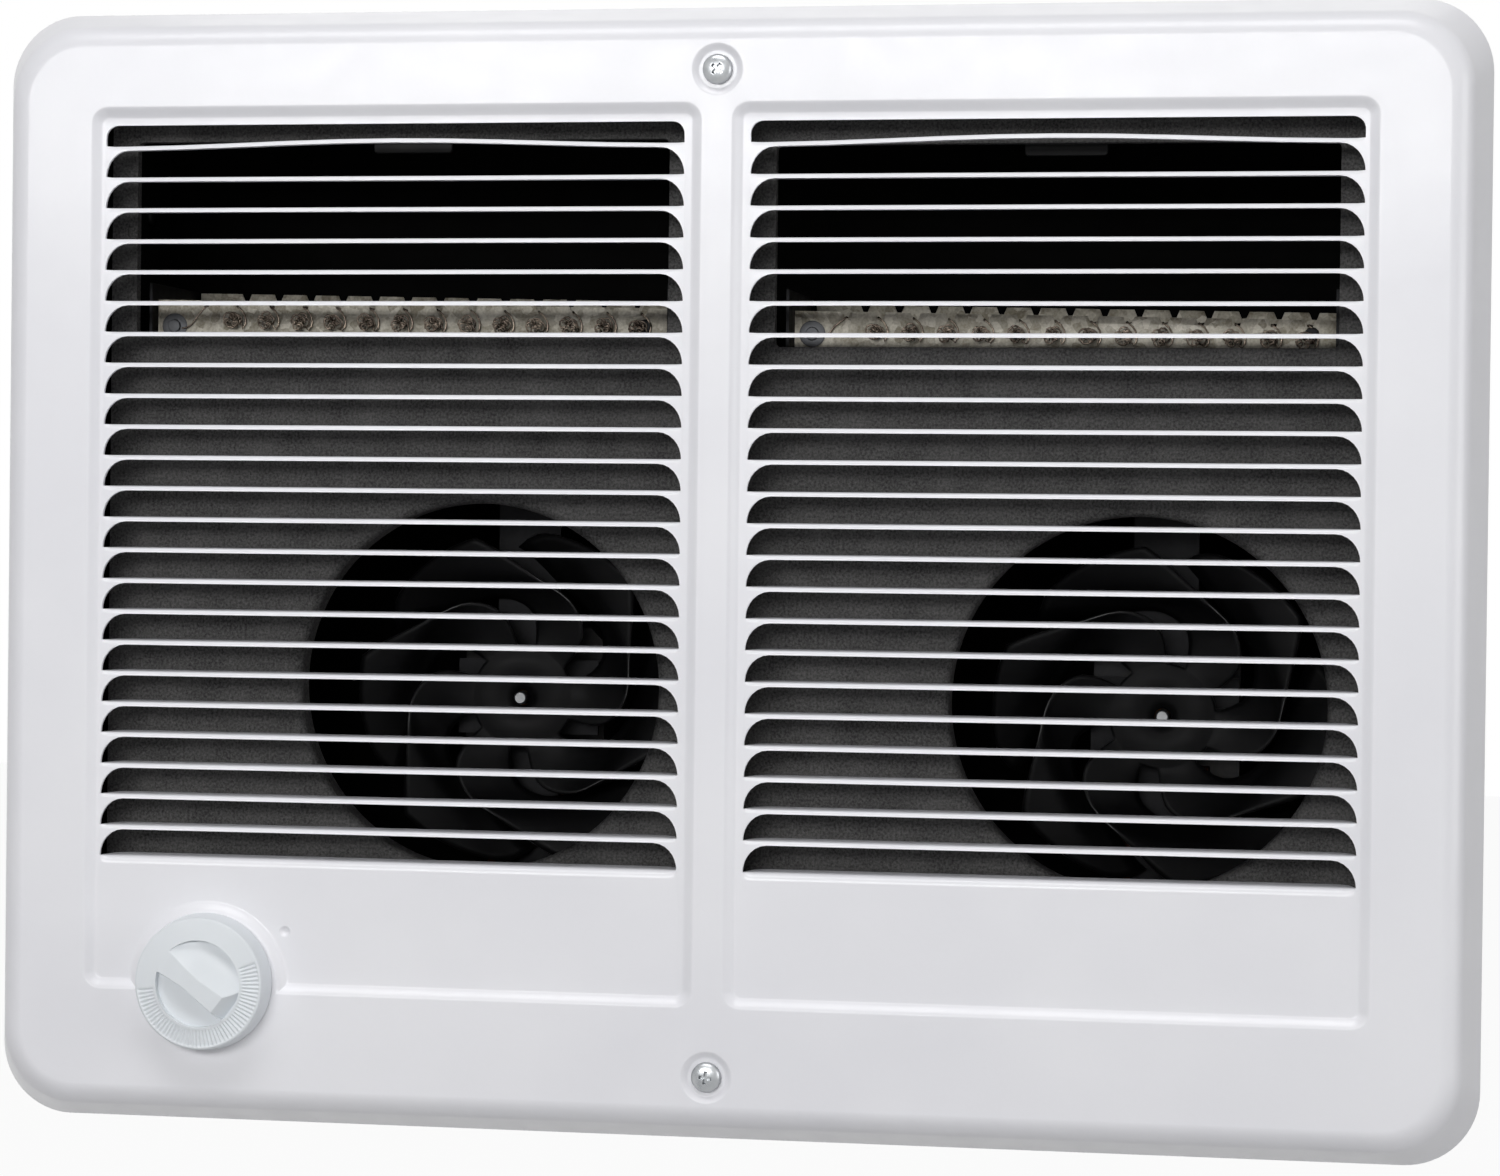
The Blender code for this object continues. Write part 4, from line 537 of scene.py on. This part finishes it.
def add_louvres(bm, side):
    """All louvres of one panel; returns the ring where they join the recess floor."""
    x0, x1 = (-SLOT_OUTER, -SLOT_INNER) if side < 0 else (SLOT_INNER, SLOT_OUTER)
    chains = {x0: [], x1: []}
    for index in range(SLOT_COUNT - 1, -1, -1):
        columns = []
        for x in louvre_stations(x0, x1):
            section = louvre_section(x, x0, x1, index)
            chain = chains.get(x)
            if chain:
                columns.append(chain[-1:] + [bm.verts.new(point) for point in section[1:]])
            else:
                columns.append([bm.verts.new(point) for point in section])
            if chain is not None:
                chain.extend(columns[-1][1:] if chain else columns[-1])
        for first, second in zip(columns, columns[1:]):
            skin(bm, first, second)
        if index == SLOT_COUNT - 1:
            base = [column[0] for column in columns[1:-1]]
    corner, slot_top = FIRST_SLOT_CORNER, FIRST_SILL + FIRST_SLOT_HEIGHT
    top = arc(x1 - corner, slot_top - corner, corner, 0, 90, 8)
    top += arc(x0 + corner, slot_top - corner, corner, 90, 180, 8)
    ring = base + chains[x1] + [bm.verts.new((x, RECESS_Y, z)) for x, z in top] + chains[x0][::-1]
    return [bm.edges.get(pair) or bm.edges.new(pair) for pair in zip(ring, ring[1:] + ring[:1])]


def press_pan(bm):
    """The cover's sloped rim, with its corners and front edge rounded; returns the front's edges."""
    x, z = PAN_BASE
    rim = edge_loop(bm, [(-x, -z), (x, -z), (x, z), (-x, z)], WALL_Y)
    front, top = extrude(bm, rim)
    bmesh.ops.scale(bm, vec=(PAN_FRONT[0] / x, 1, PAN_FRONT[1] / z), verts=front)
    bmesh.ops.translate(bm, vec=(0, FRONT_Y - WALL_Y, 0), verts=front)
    corners = [edge for edge in bm.edges if abs(edge.verts[0].co.y - edge.verts[1].co.y) > 0.01]
    bmesh.ops.edgeloop_fill(bm, edges=top)
    bmesh.ops.bevel(bm, geom=corners, offset=PAN_CORNER, offset_type="OFFSET", affect="EDGES", segments=16,
                    profile=0.5, material=-1)
    face = max(bm.faces, key=lambda item: item.calc_area())
    bmesh.ops.bevel(bm, geom=face.edges[:], offset=PAN_EDGE, offset_type="OFFSET", affect="EDGES", segments=12,
                    profile=0.5, material=-1)
    face = max(bm.faces, key=lambda item: item.calc_area())
    edges = face.edges[:]
    bmesh.ops.delete(bm, geom=[face], context="FACES_ONLY")
    return edges


def build_grille():
    bm = bmesh.new()
    front_loops = [press_pan(bm)]
    for side in (-1, 1):
        lip, floor = press_recess(bm, side)
        front_loops.append(lip)
        floor_loops = [floor, add_louvres(bm, side)]
        if side < 0:
            # A small pip in the panel, beside the knob
            mark = edge_circle(bm, PIP_X, RECESS_Y, PIP_Z, PIP_RADIUS, 20)
            floor_loops.append(mark)
            mark = draw_wall(bm, mark, (PIP_X, PIP_Z), PIP_RADIUS,
                             ((0.0017, 0.0001), (0.0012, 0.0005), (0.0006, 0.0003)))
            bmesh.ops.edgeloop_fill(bm, edges=mark)
        fill_between(bm, floor_loops)
    for z in SCREW_LEVELS:
        lip = edge_circle(bm, 0.0, FRONT_Y, z, DIMPLE_RADIUS, 48)
        steps = [(DIMPLE_RADIUS - DIMPLE_SLOPE * second, DIMPLE_DEPTH * (smooth(second) - smooth(first)))
                 for first, second in zip(SLOPE_STEPS, SLOPE_STEPS[1:])]
        draw_wall(bm, lip, (0.0, z), DIMPLE_RADIUS, steps + [(0.0023, 0.0)])
        front_loops.append(lip)
    front_loops.append(edge_circle(bm, KNOB_X, FRONT_Y, KNOB_Z, 0.0048, 32))
    fill_between(bm, front_loops)
    bmesh.ops.remove_doubles(bm, verts=bm.verts, dist=0.000001)
    face_front(bm)
    grille = link("grille", finish_mesh(bm, "grille"), WHITE_ENAMEL)
    thicken(grille, SHEET)
    soften_edges(grille, 0.0003, 50.0)
    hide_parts("grille_cover")


build_grille()


# Screws with a cross recess

def build_screw(name, node, spin):
    low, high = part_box(node)
    x, z = (low[0] + high[0]) / 2, (low[2] + high[2]) / 2
    seat = FRONT_Y + DIMPLE_DEPTH - FIT_GAP
    bm = bmesh.new()
    head = 0.005
    dome = [(head * math.sin(math.radians(a)), 0.0004 + 0.0022 * math.cos(math.radians(a)) ** 0.8)
            for a in range(0, 90, 10)]
    profile = dome + [(head, 0.0004), (head, 0.0), (0.0019, 0.0), (0.0019, -0.0235), (0.0012, -0.026),
                      (0.0, -0.026)]
    lathe(bm, profile, facing_front(x, seat, z), 48)
    bmesh.ops.recalc_face_normals(bm, faces=bm.faces)
    screw = link(name, finish_mesh(bm, name), ZINC)
    cutter_mesh = bmesh.new()
    for turn in (0.0, math.pi / 2):
        made = bmesh.ops.create_cube(cutter_mesh, size=1.0)["verts"]
        for vert in made:
            inner = vert.co.y > 0
            vert.co = Vector((vert.co.x * (0.0032 if inner else 0.0056), vert.co.y * 0.0032,
                              vert.co.z * (0.0008 if inner else 0.0014)))
        bmesh.ops.rotate(cutter_mesh, verts=made, cent=(0, 0, 0),
                         matrix=Matrix.Rotation(turn + spin, 3, "Y"))
        bmesh.ops.translate(cutter_mesh, verts=made, vec=(x, seat - 0.0026, z))
    cutter = bpy.data.objects.new(name + "_recess", finish_mesh(cutter_mesh, name + "_recess"))
    bpy.context.scene.collection.objects.link(cutter)
    cut = screw.modifiers.new("recess", "BOOLEAN")
    cut.operation, cut.solver, cut.object, cut.use_self = "DIFFERENCE", "EXACT", cutter, True
    apply_modifiers(screw)
    bpy.data.objects.remove(cutter, do_unlink=True)
    soften_edges(screw, 0.00012, 35.0)
    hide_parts(node)


def apply_modifiers(obj):
    depsgraph = bpy.context.evaluated_depsgraph_get()
    mesh = bpy.data.meshes.new_from_object(obj.evaluated_get(depsgraph))
    obj.modifiers.clear()
    obj.data = mesh


build_screw("cover_screw_top", "grille_screw_top", math.radians(40))
build_screw("cover_screw_bottom", "grille_screw_bottom", math.radians(8))


# Thermostat knob

KNOB_BASE = FRONT_Y - FIT_GAP
WELL = 0.0146


def knob_height(x, z):
    """Height of the knob's face over its base at a point, from its well, grip bar and ring."""
    radius = math.hypot(x, z)
    ring = 0.0096 - 0.0007 * max(0.0, (radius - WELL) / 0.0064)
    if radius >= WELL:
        return ring
    turn = math.radians(-39)
    u = x * math.cos(turn) + z * math.sin(turn)
    v = -x * math.sin(turn) + z * math.cos(turn)
    floor = 0.0074
    start = min(1.0, max(0.0, (u + 0.0146) / 0.010))
    ridge = 0.0096 + 0.0023 * smooth(start)
    low_edge = -0.0037 - 0.0022 * max(0.0, (-u - 0.0025) / 0.0105) ** 1.5
    high_edge = 0.0020 + 0.0009 * max(0.0, u / 0.010)
    if v < low_edge:
        height = ridge - (low_edge - v) / 0.0006 * (ridge - floor)
    elif v <= high_edge:
        height = ridge
    else:
        fade = max(0.0, 1.0 - (v - high_edge) / 0.0098)
        height = floor + (ridge - floor) * fade ** 2.1
    end = 0.0100
    if u > end and v >= low_edge:
        height = min(height, ridge - (u - end) / 0.0042 * (ridge - floor + 0.0004))
    return max(height, floor)


def knob_flute(x, z):
    """Depth of the fine flutes round the lower part of the ring."""
    radius = math.hypot(x, z)
    degrees = (math.degrees(math.atan2(z, x)) - 22) % 360
    if not 0.0154 < radius < 0.0212 or degrees <= 360 - 196:
        return 0.0
    fade = min(1.0, (radius - 0.0154) / 0.0006, (0.0213 - radius) / 0.0003)
    return 0.00042 * (0.5 - 0.5 * math.cos(math.tau * degrees / 4.0)) * max(fade, 0.0)


def build_knob():
    bm = bmesh.new()
    face = [WELL * (i / 46) ** 0.9 for i in range(46)] + [WELL - 0.00012, WELL + 0.00005, 0.0153, 0.0156, 0.0159,
                                                          0.0164, 0.0175, 0.0190, 0.0202, 0.0208, 0.0211, 0.0214]
    rim = [(0.0214 + 0.0008 * math.sin(math.radians(a)),
            knob_height(0.0214, 0.0) - 0.0008 * (1 - math.cos(math.radians(a)))) for a in (15, 35, 55, 75, 90)]
    back = [(0.0231, 0.0003), (0.0229, 0.0), (0.0208, 0.0), (0.0206, 0.0062), (0.0060, 0.0062), (0.0058, 0.0),
            (0.0034, 0.0), (0.0033, 0.0065), (0.0, 0.0065)]
    lathe(bm, [(radius, 0.01) for radius in face] + rim + back, Matrix.Identity(4), 360)
    for vert in bm.verts:
        if vert.co.z > 0.0099 and vert.co.xy.length < 0.02145:
            vert.co.z = knob_height(vert.co.x, vert.co.y) - knob_flute(vert.co.x, vert.co.y)
    bmesh.ops.transform(bm, matrix=facing_front(KNOB_X, KNOB_BASE, KNOB_Z), verts=bm.verts)
    bmesh.ops.recalc_face_normals(bm, faces=bm.faces)
    knob = link("knob", finish_mesh(bm, "knob", 40.0), WHITE_ABS, "thermostat_dial")
    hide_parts("thermostat_knob")


build_knob()


# Screws through the can's side holes

CAN_INSIDE = 0.2258
STUD_SCREW_Y, STUD_SCREW_Z = (-0.0713, -0.0238), (-0.126, 0.126)


def build_stud_screws():
    """Screws that hold the can to the studs, as far as its outer face; they close its holes to the light."""
    bm = bmesh.new()
    head, shank = 0.0042, 0.0021
    dome = [(head * math.sin(math.radians(a)), 0.0004 + 0.0018 * math.cos(math.radians(a))) for a in range(0, 90, 10)]
    profile = dome + [(head, 0.0004), (head, 0.0), (shank, 0.0), (shank, -0.0012), (0.0, -0.0012)]
    for side in (-1, 1):
        for y in STUD_SCREW_Y:
            for z in STUD_SCREW_Z:
                seat = Matrix.Translation((side * (CAN_INSIDE - FIT_GAP), y, z))
                lathe(bm, profile, seat @ Matrix.Rotation(-side * math.pi / 2, 4, "Y"), 24)
    bmesh.ops.recalc_face_normals(bm, faces=bm.faces)
    link("stud_screws", finish_mesh(bm, "stud_screws"), BLACK_STEEL)


build_stud_screws()


# Decks

DECK_HALF_WIDTH, DECK_HALF_HEIGHT = 0.1024, 0.170
SIDE_FLANGE, SIDE_FLANGE_END = 0.012, 0.018      # its depth, and how far it stops from the deck's ends
OUTLET_FLANGE = 0.004
ORIFICE_X, ORIFICE_Z = 0.0283, -0.0393
ORIFICE_LIP, ORIFICE_THROAT, ORIFICE_ROLL = 0.065, 0.062, 0.003
OUTLET_LOW = {"left": 0.0798, "right": 0.0780}
OUTLET_HIGH = 0.1452


def build_deck(side, unit_x, unit_z):
    bm = bmesh.new()
    x0, x1 = unit_x - DECK_HALF_WIDTH, unit_x + DECK_HALF_WIDTH
    z0, z1 = unit_z - DECK_HALF_HEIGHT, unit_z + DECK_HALF_HEIGHT
    low, high = z0 + SIDE_FLANGE_END, z1 - SIDE_FLANGE_END
    edge = edge_loop(bm, [(x0, z0), (x1, z0), (x1, low), (x1, high), (x1, z1), (x0, z1), (x0, high), (x0, low)],
                     DECK_Y)
    outline = rounded_rectangle(unit_x - 0.0934, unit_x + 0.0924, unit_z + OUTLET_LOW[side], unit_z + OUTLET_HIGH,
                                0.002, 5)
    outlet = edge_loop(bm, outline, DECK_Y)
    bmesh.ops.translate(bm, vec=(0, OUTLET_FLANGE, 0), verts=extrude(bm, outlet)[0])
    centre = (unit_x + ORIFICE_X, unit_z + ORIFICE_Z)
    collar = [math.radians(15 * i) for i in range(7)]
    orifice = edge_circle(bm, centre[0], DECK_Y, centre[1], ORIFICE_LIP, 128)
    draw_wall(bm, orifice, centre, ORIFICE_LIP,
              [(ORIFICE_THROAT + ORIFICE_ROLL * (1 - math.sin(b)), ORIFICE_ROLL * (math.cos(a) - math.cos(b)))
               for a, b in zip(collar, collar[1:])] + [(ORIFICE_THROAT, 0.007)])
    holes = [outlet, orifice]
    for z in SCREW_LEVELS:
        holes.append(edge_circle(bm, unit_x, DECK_Y, unit_z + z, 0.0023, 20))
    if side == "left":
        holes.append(edge_circle(bm, KNOB_X, DECK_Y, KNOB_Z, 0.0052, 24))
    fill_between(bm, [edge] + holes)
    for fold in (edge[2], edge[6]):
        bmesh.ops.translate(bm, vec=(0, SIDE_FLANGE, 0), verts=extrude(bm, [fold])[0])
    face_front(bm)
    deck = link("deck_plate_" + side, finish_mesh(bm, "deck_plate_" + side), CHARCOAL)
    thicken(deck, 0.001)
    soften_edges(deck, 0.0002, 50.0)
    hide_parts("deck_" + side)


def build_outlet_tab(side, unit_x, unit_z):
    """Stop that hangs behind the outlet's upper edge; its near-black colour is painted shade, for the shade it lies
    in behind the louvres.
    """
    bm = bmesh.new()
    low, high = unit_z + 0.1414, unit_z + OUTLET_HIGH + 0.0008
    edges = edge_loop(bm, [(unit_x - 0.011, high), (unit_x - 0.011, low), (unit_x + 0.0164, low),
                           (unit_x + 0.0164, high)], DECK_Y + 0.0041)
    bmesh.ops.edgeloop_fill(bm, edges=edges)
    lower = [vert for vert in bm.verts if vert.co.z < high - 0.001]
    bmesh.ops.bevel(bm, geom=lower, offset=0.0012, offset_type="OFFSET", affect="VERTICES", segments=4,
                    profile=0.5, material=-1)
    face_front(bm)
    # Painted shade: the tab is coloured near black for the shade it lies in
    tab = link("outlet_tab_" + side, finish_mesh(bm, "outlet_tab_" + side), BLACK_PAINT_AND_SHADE)
    thicken(tab, 0.0009)
    soften_edges(tab, 0.0003, 50.0)


# Fans

BLADES = 6
HUB_RADIUS = 0.018
BLADE_CROWN = 0.0067
TIP_WIDTH = math.radians(48)
# From hub to tip: radius, angle of the blade's edge in degrees, and how deep the blade is pitched
BLADE_ROWS = ((0.018, -20, 0.0), (0.030, -13, 0.0084), (0.037, 2, 0.0112), (0.041, 22, 0.0140),
              (0.047, 36, 0.0140), (0.0575, 50, 0.0140))
REST_TURNS = {"left": math.radians(36), "right": math.radians(26)}


def blade_row(place):
    """Radius, edge angle and pitch at a place from 0 at the hub to 5 at the tip, on a smooth curve."""
    index = min(int(place), len(BLADE_ROWS) - 2)
    u = place - index
    rows = [BLADE_ROWS[min(max(index + i, 0), len(BLADE_ROWS) - 1)] for i in (-1, 0, 1, 2)]
    return [b + 0.5 * u * (c - a + u * (2 * a - 5 * b + 4 * c - d + u * (3 * (b - c) + d - a)))
            for a, b, c, d in zip(*rows)]


def build_fan(side, x, z):
    """Stamped fan: a sixth of its dished hub with one swept, pitched blade, turned into six."""
    bm = bmesh.new()
    columns, rows = 12, 20
    sector = columns * 3 // 2
    profile = [(0.0028, 0.0), (0.0060, 0.0), (0.0075, 0.0008), (0.0150, 0.0008), (0.0170, 0.0), (HUB_RADIUS, 0.0)]
    points = [bm.verts.new((radius, -lift, 0.0)) for radius, lift in profile]
    spokes = [bm.edges.new(pair) for pair in zip(points, points[1:])]
    bmesh.ops.spin(bm, geom=points + spokes, cent=(0, 0, 0), axis=(0, -1, 0), dvec=(0, 0, 0),
                   angle=math.tau / BLADES, steps=sector, use_merge=False, use_normal_flip=False,
                   use_duplicate=False)
    step = math.tau / BLADES / sector
    rim = [vert for vert in bm.verts if vert.co.length > HUB_RADIUS - 0.0001]
    rim.sort(key=lambda v: math.atan2(v.co.z, v.co.x))
    edges = [bm.edges.get(pair) for pair in zip(rim[:columns + 1], rim[1:columns + 1])]
    for row in range(1, rows + 1):
        place = 5.0 * row / rows
        radius, edge, pitch = blade_row(place)
        width = step * columns + (TIP_WIDTH - step * columns) * place / 5
        fresh, edges = extrude(bm, edges)
        start = math.radians(20 + (blade_row(place - 5.0 / rows)[1] if row > 1 else -20))
        for i, vert in enumerate(sorted(fresh, key=lambda v: (math.atan2(v.co.z, v.co.x) - start + 0.5) % math.tau)):
            across = i / columns
            angle = math.radians(20 + edge) + width * across
            reach = radius - 0.001 * place * max(0.0, 4 * across - 3) ** 2
            crown = BLADE_CROWN * across * (1 - across) * min(1.0, place)
            vert.co = (reach * math.cos(angle), -pitch * (0.5 - across) - crown, reach * math.sin(angle))
    bmesh.ops.spin(bm, geom=bm.verts[:] + bm.edges[:] + bm.faces[:], cent=(0, 0, 0), axis=(0, -1, 0),
                   dvec=(0, 0, 0), angle=math.tau * (BLADES - 1) / BLADES, steps=BLADES - 1, use_merge=False,
                   use_normal_flip=False, use_duplicate=True)
    bmesh.ops.remove_doubles(bm, verts=bm.verts, dist=0.00001)
    face_front(bm)
    bmesh.ops.rotate(bm, verts=bm.verts, cent=(0.0, 0.0, 0.0),
                     matrix=Matrix.Rotation(-REST_TURNS[side], 3, "Y"))
    bmesh.ops.translate(bm, verts=bm.verts, vec=(x, DECK_Y + 0.040, z))
    mesh = finish_mesh(bm, "fan_blades_" + side, 60.0)
    fan = link("fan_blades_" + side, mesh, BLACK_PAINT_AND_SHADE, "fan_rotor_" + side)
    mesh.materials.append(WORN_EDGE)
    sheet = fan.modifiers.new("sheet", "SOLIDIFY")
    sheet.thickness, sheet.offset, sheet.material_offset_rim = 0.0009, -1.0, 1
    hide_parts("fan_" + side)


# Heating elements

BOARD_FRONT_Y, BOARD_REAR_Y = -0.0908, -0.0448
NOTCHES, NOTCH_PITCH, FIRST_NOTCH = 14, 0.0118, -0.0705
BOARD_TILT = -0.017
BOARD_LEFT, BOARD_RIGHT = -0.0875, 0.0915
BOARD_TOP = {"left": 0.0903, "right": 0.0889}
COIL_RADIUS, COIL_DROP = 0.0029, 0.0068
COIL_CURLS, POINTS_PER_CURL = 17, 12
WIRE_RADIUS = 0.00032


def board_top(side, x, rear):
    """Height of a board's upper edge over its unit at x; the boards hang a degree lower on the right."""
    return BOARD_TOP[side] + BOARD_TILT * x + (0.0052 if rear else 0.0)


def notch_place(index):
    return FIRST_NOTCH + NOTCH_PITCH * index


def build_board(side, unit_x, unit_z, rear):
    bm = bmesh.new()
    low = 0.0575 + (0.006 if rear else 0.0)
    outline = [(BOARD_LEFT, low), (BOARD_RIGHT, low), (BOARD_RIGHT, board_top(side, BOARD_RIGHT, rear))]
    for index in range(NOTCHES - 1, -1, -1):
        for across, drop in ((0.0018, 0.0), (0.0008, 0.0024), (-0.0008, 0.0024), (-0.0018, 0.0)):
            x = notch_place(index) + across
            outline.append((x, board_top(side, x, rear) - drop))
    outline.append((BOARD_LEFT, board_top(side, BOARD_LEFT, rear)))
    y = BOARD_REAR_Y if rear else BOARD_FRONT_Y
    bmesh.ops.edgeloop_fill(bm, edges=edge_loop(bm, [(unit_x + x, unit_z + z) for x, z in outline], y))
    face_front(bm)
    bmesh.ops.triangulate(bm, faces=bm.faces[:], quad_method="BEAUTY", ngon_method="EAR_CLIP")
    name = "mica_%s_%s" % ("rear" if rear else "front", side)
    board = link(name, finish_mesh(bm, name), MICA)
    thicken(board, 0.0008, even=False)
    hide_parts("mica_board_%s_%s" % ("rear" if rear else "front", side))


def coil_path(side, unit_x, unit_z, index):
    """One heating coil: over its notch, down a hook, tangled in front of the board, then back in close turns."""
    notch_x = unit_x + notch_place(index)
    notch_z = unit_z + board_top(side, notch_place(index), False) - 0.0020
    front_y = BOARD_FRONT_Y - 0.0007
    path = [(notch_x + x, y, notch_z + z) for x, y, z in (
        (-0.0012, BOARD_FRONT_Y + 0.0030, -0.0012), (-0.0010, BOARD_FRONT_Y + 0.0014, 0.0001),
        (-0.0006, BOARD_FRONT_Y - 0.0002, 0.0003), (0.0001, front_y, -0.0003), (0.0013, front_y, -0.0013),
        (0.0023, front_y, -0.0029), (0.0027, front_y, -0.0046), (0.0025, front_y - 0.0002, -0.0062),
        (0.0017, front_y - 0.0004, -0.0076))]
    centre_x, centre_z = notch_x - 0.0016, notch_z + 0.0020 - COIL_DROP
    wobble = noise.noise(Vector((index * 2.3, unit_x * 40, 0.4)))
    loops, turns = 6 + index % 2, 1.4
    for step in range(int(turns * loops * 9) + 1):
        turn = math.tau * step / (loops * 9)
        along = step / (turns * loops * 9)
        main = -0.5 + turn
        small = turn * loops * (1 + 0.07 * math.sin(3 * turn + index)) + index
        wide = 0.0022 * (1 + 0.16 * math.sin(1.7 * turn + 2.0 * index) + 0.2 * wobble) * (1 - 0.45 * along)
        path.append((centre_x + wide * math.cos(main) + 0.00105 * math.cos(small),
                     front_y - 0.0004 - 0.0016 * math.sin(math.pi * along) - 0.0004 * math.sin(small),
                     centre_z + wide * math.sin(main) + 0.00105 * math.sin(small)))
    path += [(centre_x + 0.0004, BOARD_FRONT_Y - 0.0004, centre_z), (centre_x, BOARD_FRONT_Y + 0.0014, centre_z)]
    for step in range(COIL_CURLS * POINTS_PER_CURL + 1):
        along = step / (COIL_CURLS * POINTS_PER_CURL)
        angle = math.tau * step / POINTS_PER_CURL + math.pi / 2
        grow = COIL_RADIUS * min(1.0, step / POINTS_PER_CURL)
        path.append((centre_x + grow * math.cos(angle),
                     BOARD_FRONT_Y + 0.002 + (BOARD_REAR_Y - BOARD_FRONT_Y) * along,
                     centre_z + 0.0052 * along + grow * math.sin(angle)))
    return path


def build_element(side, unit_x, unit_z):
    build_board(side, unit_x, unit_z, False)
    build_board(side, unit_x, unit_z, True)
    paths = [coil_path(side, unit_x, unit_z, index) for index in range(1, NOTCHES)]
    low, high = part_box("element_terminal_a_" + side)
    x, z = (low[0] + high[0]) / 2, (low[2] + high[2]) / 2
    notch_x, notch_z = unit_x + notch_place(0), unit_z + board_top(side, notch_place(0), False) - 0.0020
    lead_y = BOARD_FRONT_Y - 0.0006
    paths.append([(x + 0.0026, lead_y, z - 0.0008), (x + 0.0044, lead_y, z - 0.0006),
                  (x + 0.0062, lead_y, z + 0.0006), (x + 0.0076, lead_y, z + 0.0026),
                  (notch_x - 0.0004, lead_y, notch_z - 0.0006),
                  (notch_x + 0.0004, lead_y + 0.0004, notch_z + 0.0002),
                  (notch_x + 0.0008, lead_y + 0.0020, notch_z)])
    coil = tube("heating_coil_" + side, paths, WIRE_RADIUS, NICHROME)
    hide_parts("element_coil_" + side)
    # Eyelet of the lead under the rivet
    bm = bmesh.new()
    lathe(bm, [(0.0018, 0.0), (0.0018, 0.0005), (0.0040, 0.0005), (0.0044, 0.0003), (0.0044, 0.0), (0.0018, 0.0)],
          facing_front(x, BOARD_FRONT_Y - 0.0001, z), 32)
    bmesh.ops.recalc_face_normals(bm, faces=bm.faces)
    link("lead_eyelet_" + side, finish_mesh(bm, "lead_eyelet_" + side), DIE_CAST)


for side, unit_x, unit_z in UNITS:
    build_deck(side, unit_x, unit_z)
    build_outlet_tab(side, unit_x, unit_z)
    build_fan(side, unit_x + 0.0343, unit_z - 0.0443)
    build_element(side, unit_x, unit_z)


# Floor, light and view

def area_light(name, place, aim, size, power):
    data = bpy.data.lights.new(name, "AREA")
    data.shape = "RECTANGLE"
    data.size, data.size_y = size
    data.energy = power
    light = bpy.data.objects.new(name, data)
    light.location = place
    light.rotation_euler = (Vector(aim) - Vector(place)).to_track_quat("-Z", "Y").to_euler()
    bpy.context.scene.collection.objects.link(light)


def white_where_seen(material):
    """1 for rays that the camera sends, straight or by way of a reflection or glass."""
    rays = add_node(material, "LightPath", {}).outputs
    seen = add_node(material, "Math", {0: rays["Is Camera Ray"], 1: rays["Is Glossy Ray"]},
                    operation="ADD").outputs[0]
    return add_node(material, "Math", {0: seen, 1: rays["Is Transmission Ray"]}, operation="ADD",
                    use_clamp=True).outputs[0]


def build_stage():
    bm = bmesh.new()
    bmesh.ops.create_grid(bm, x_segments=1, y_segments=1, size=6.0,
                          matrix=Matrix.Translation((0.0, 0.0, -0.45)))
    mesh = bpy.data.meshes.new("floor")
    bm.to_mesh(mesh)
    bm.free()
    floor = bpy.data.objects.new("floor", mesh)
    bpy.context.scene.collection.objects.link(floor)
    # Matt white paper: what is seen is mostly plain white, with a share left for the object's shadow
    paper = new_material("white_paper")
    place = add_node(paper, "TexCoord", {}).outputs["Object"]
    patches = add_node(paper, "TexNoise", {"Vector": place, "Scale": PER_METRE / 400}).outputs["Fac"]
    tone = add_node(paper, "Mix", {"Factor": patches, "A": linear("#b2b2b2"), "B": linear("#bababa")},
                    data_type="RGBA").outputs[2]
    matt = add_node(paper, "BsdfPrincipled", {"Base Color": tone, "Roughness": 0.9}).outputs["BSDF"]
    white = add_node(paper, "Emission", {"Color": (1.0, 1.0, 1.0, 1.0), "Strength": 1.0}).outputs[0]
    seen = white_where_seen(paper)
    share = add_node(paper, "Math", {0: seen, 1: 0.95}, operation="MULTIPLY").outputs[0]
    mixed = add_node(paper, "MixShader", {"Fac": share, 1: matt, 2: white}).outputs[0]
    add_node(paper, "OutputMaterial", {"Surface": mixed})
    mesh.materials.append(paper)
    area_light("key", (-0.35, -2.2, 0.50), (0.0, -0.1, 0.0), (1.4, 0.40), 20.5)
    area_light("top", (-0.1, -1.1, 1.9), (0.0, -0.1, 0.0), (1.6, 0.7), 18.0)
    area_light("side", (1.9, -0.9, 0.2), (0.25, -0.1, 0.0), (0.9, 0.9), 7.5)
    area_light("back", (0.0, 1.8, 1.6), (0.0, 0.0, 0.0), (2.0, 1.5), 5.0)
    world = bpy.data.worlds.new("studio")
    world.use_nodes = True
    world.node_tree.nodes.clear()
    dim = add_node(world, "Background", {"Color": (1.0, 1.0, 1.0, 1.0), "Strength": 0.10}).outputs[0]
    full = add_node(world, "Background", {"Color": (1.0, 1.0, 1.0, 1.0), "Strength": 1.0}).outputs[0]
    mixed = add_node(world, "MixShader", {"Fac": white_where_seen(world), 1: dim, 2: full}).outputs[0]
    add_node(world, "OutputWorld", {"Surface": mixed})
    bpy.context.scene.world = world
    bpy.context.scene.view_settings.view_transform = "Standard"


build_stage()
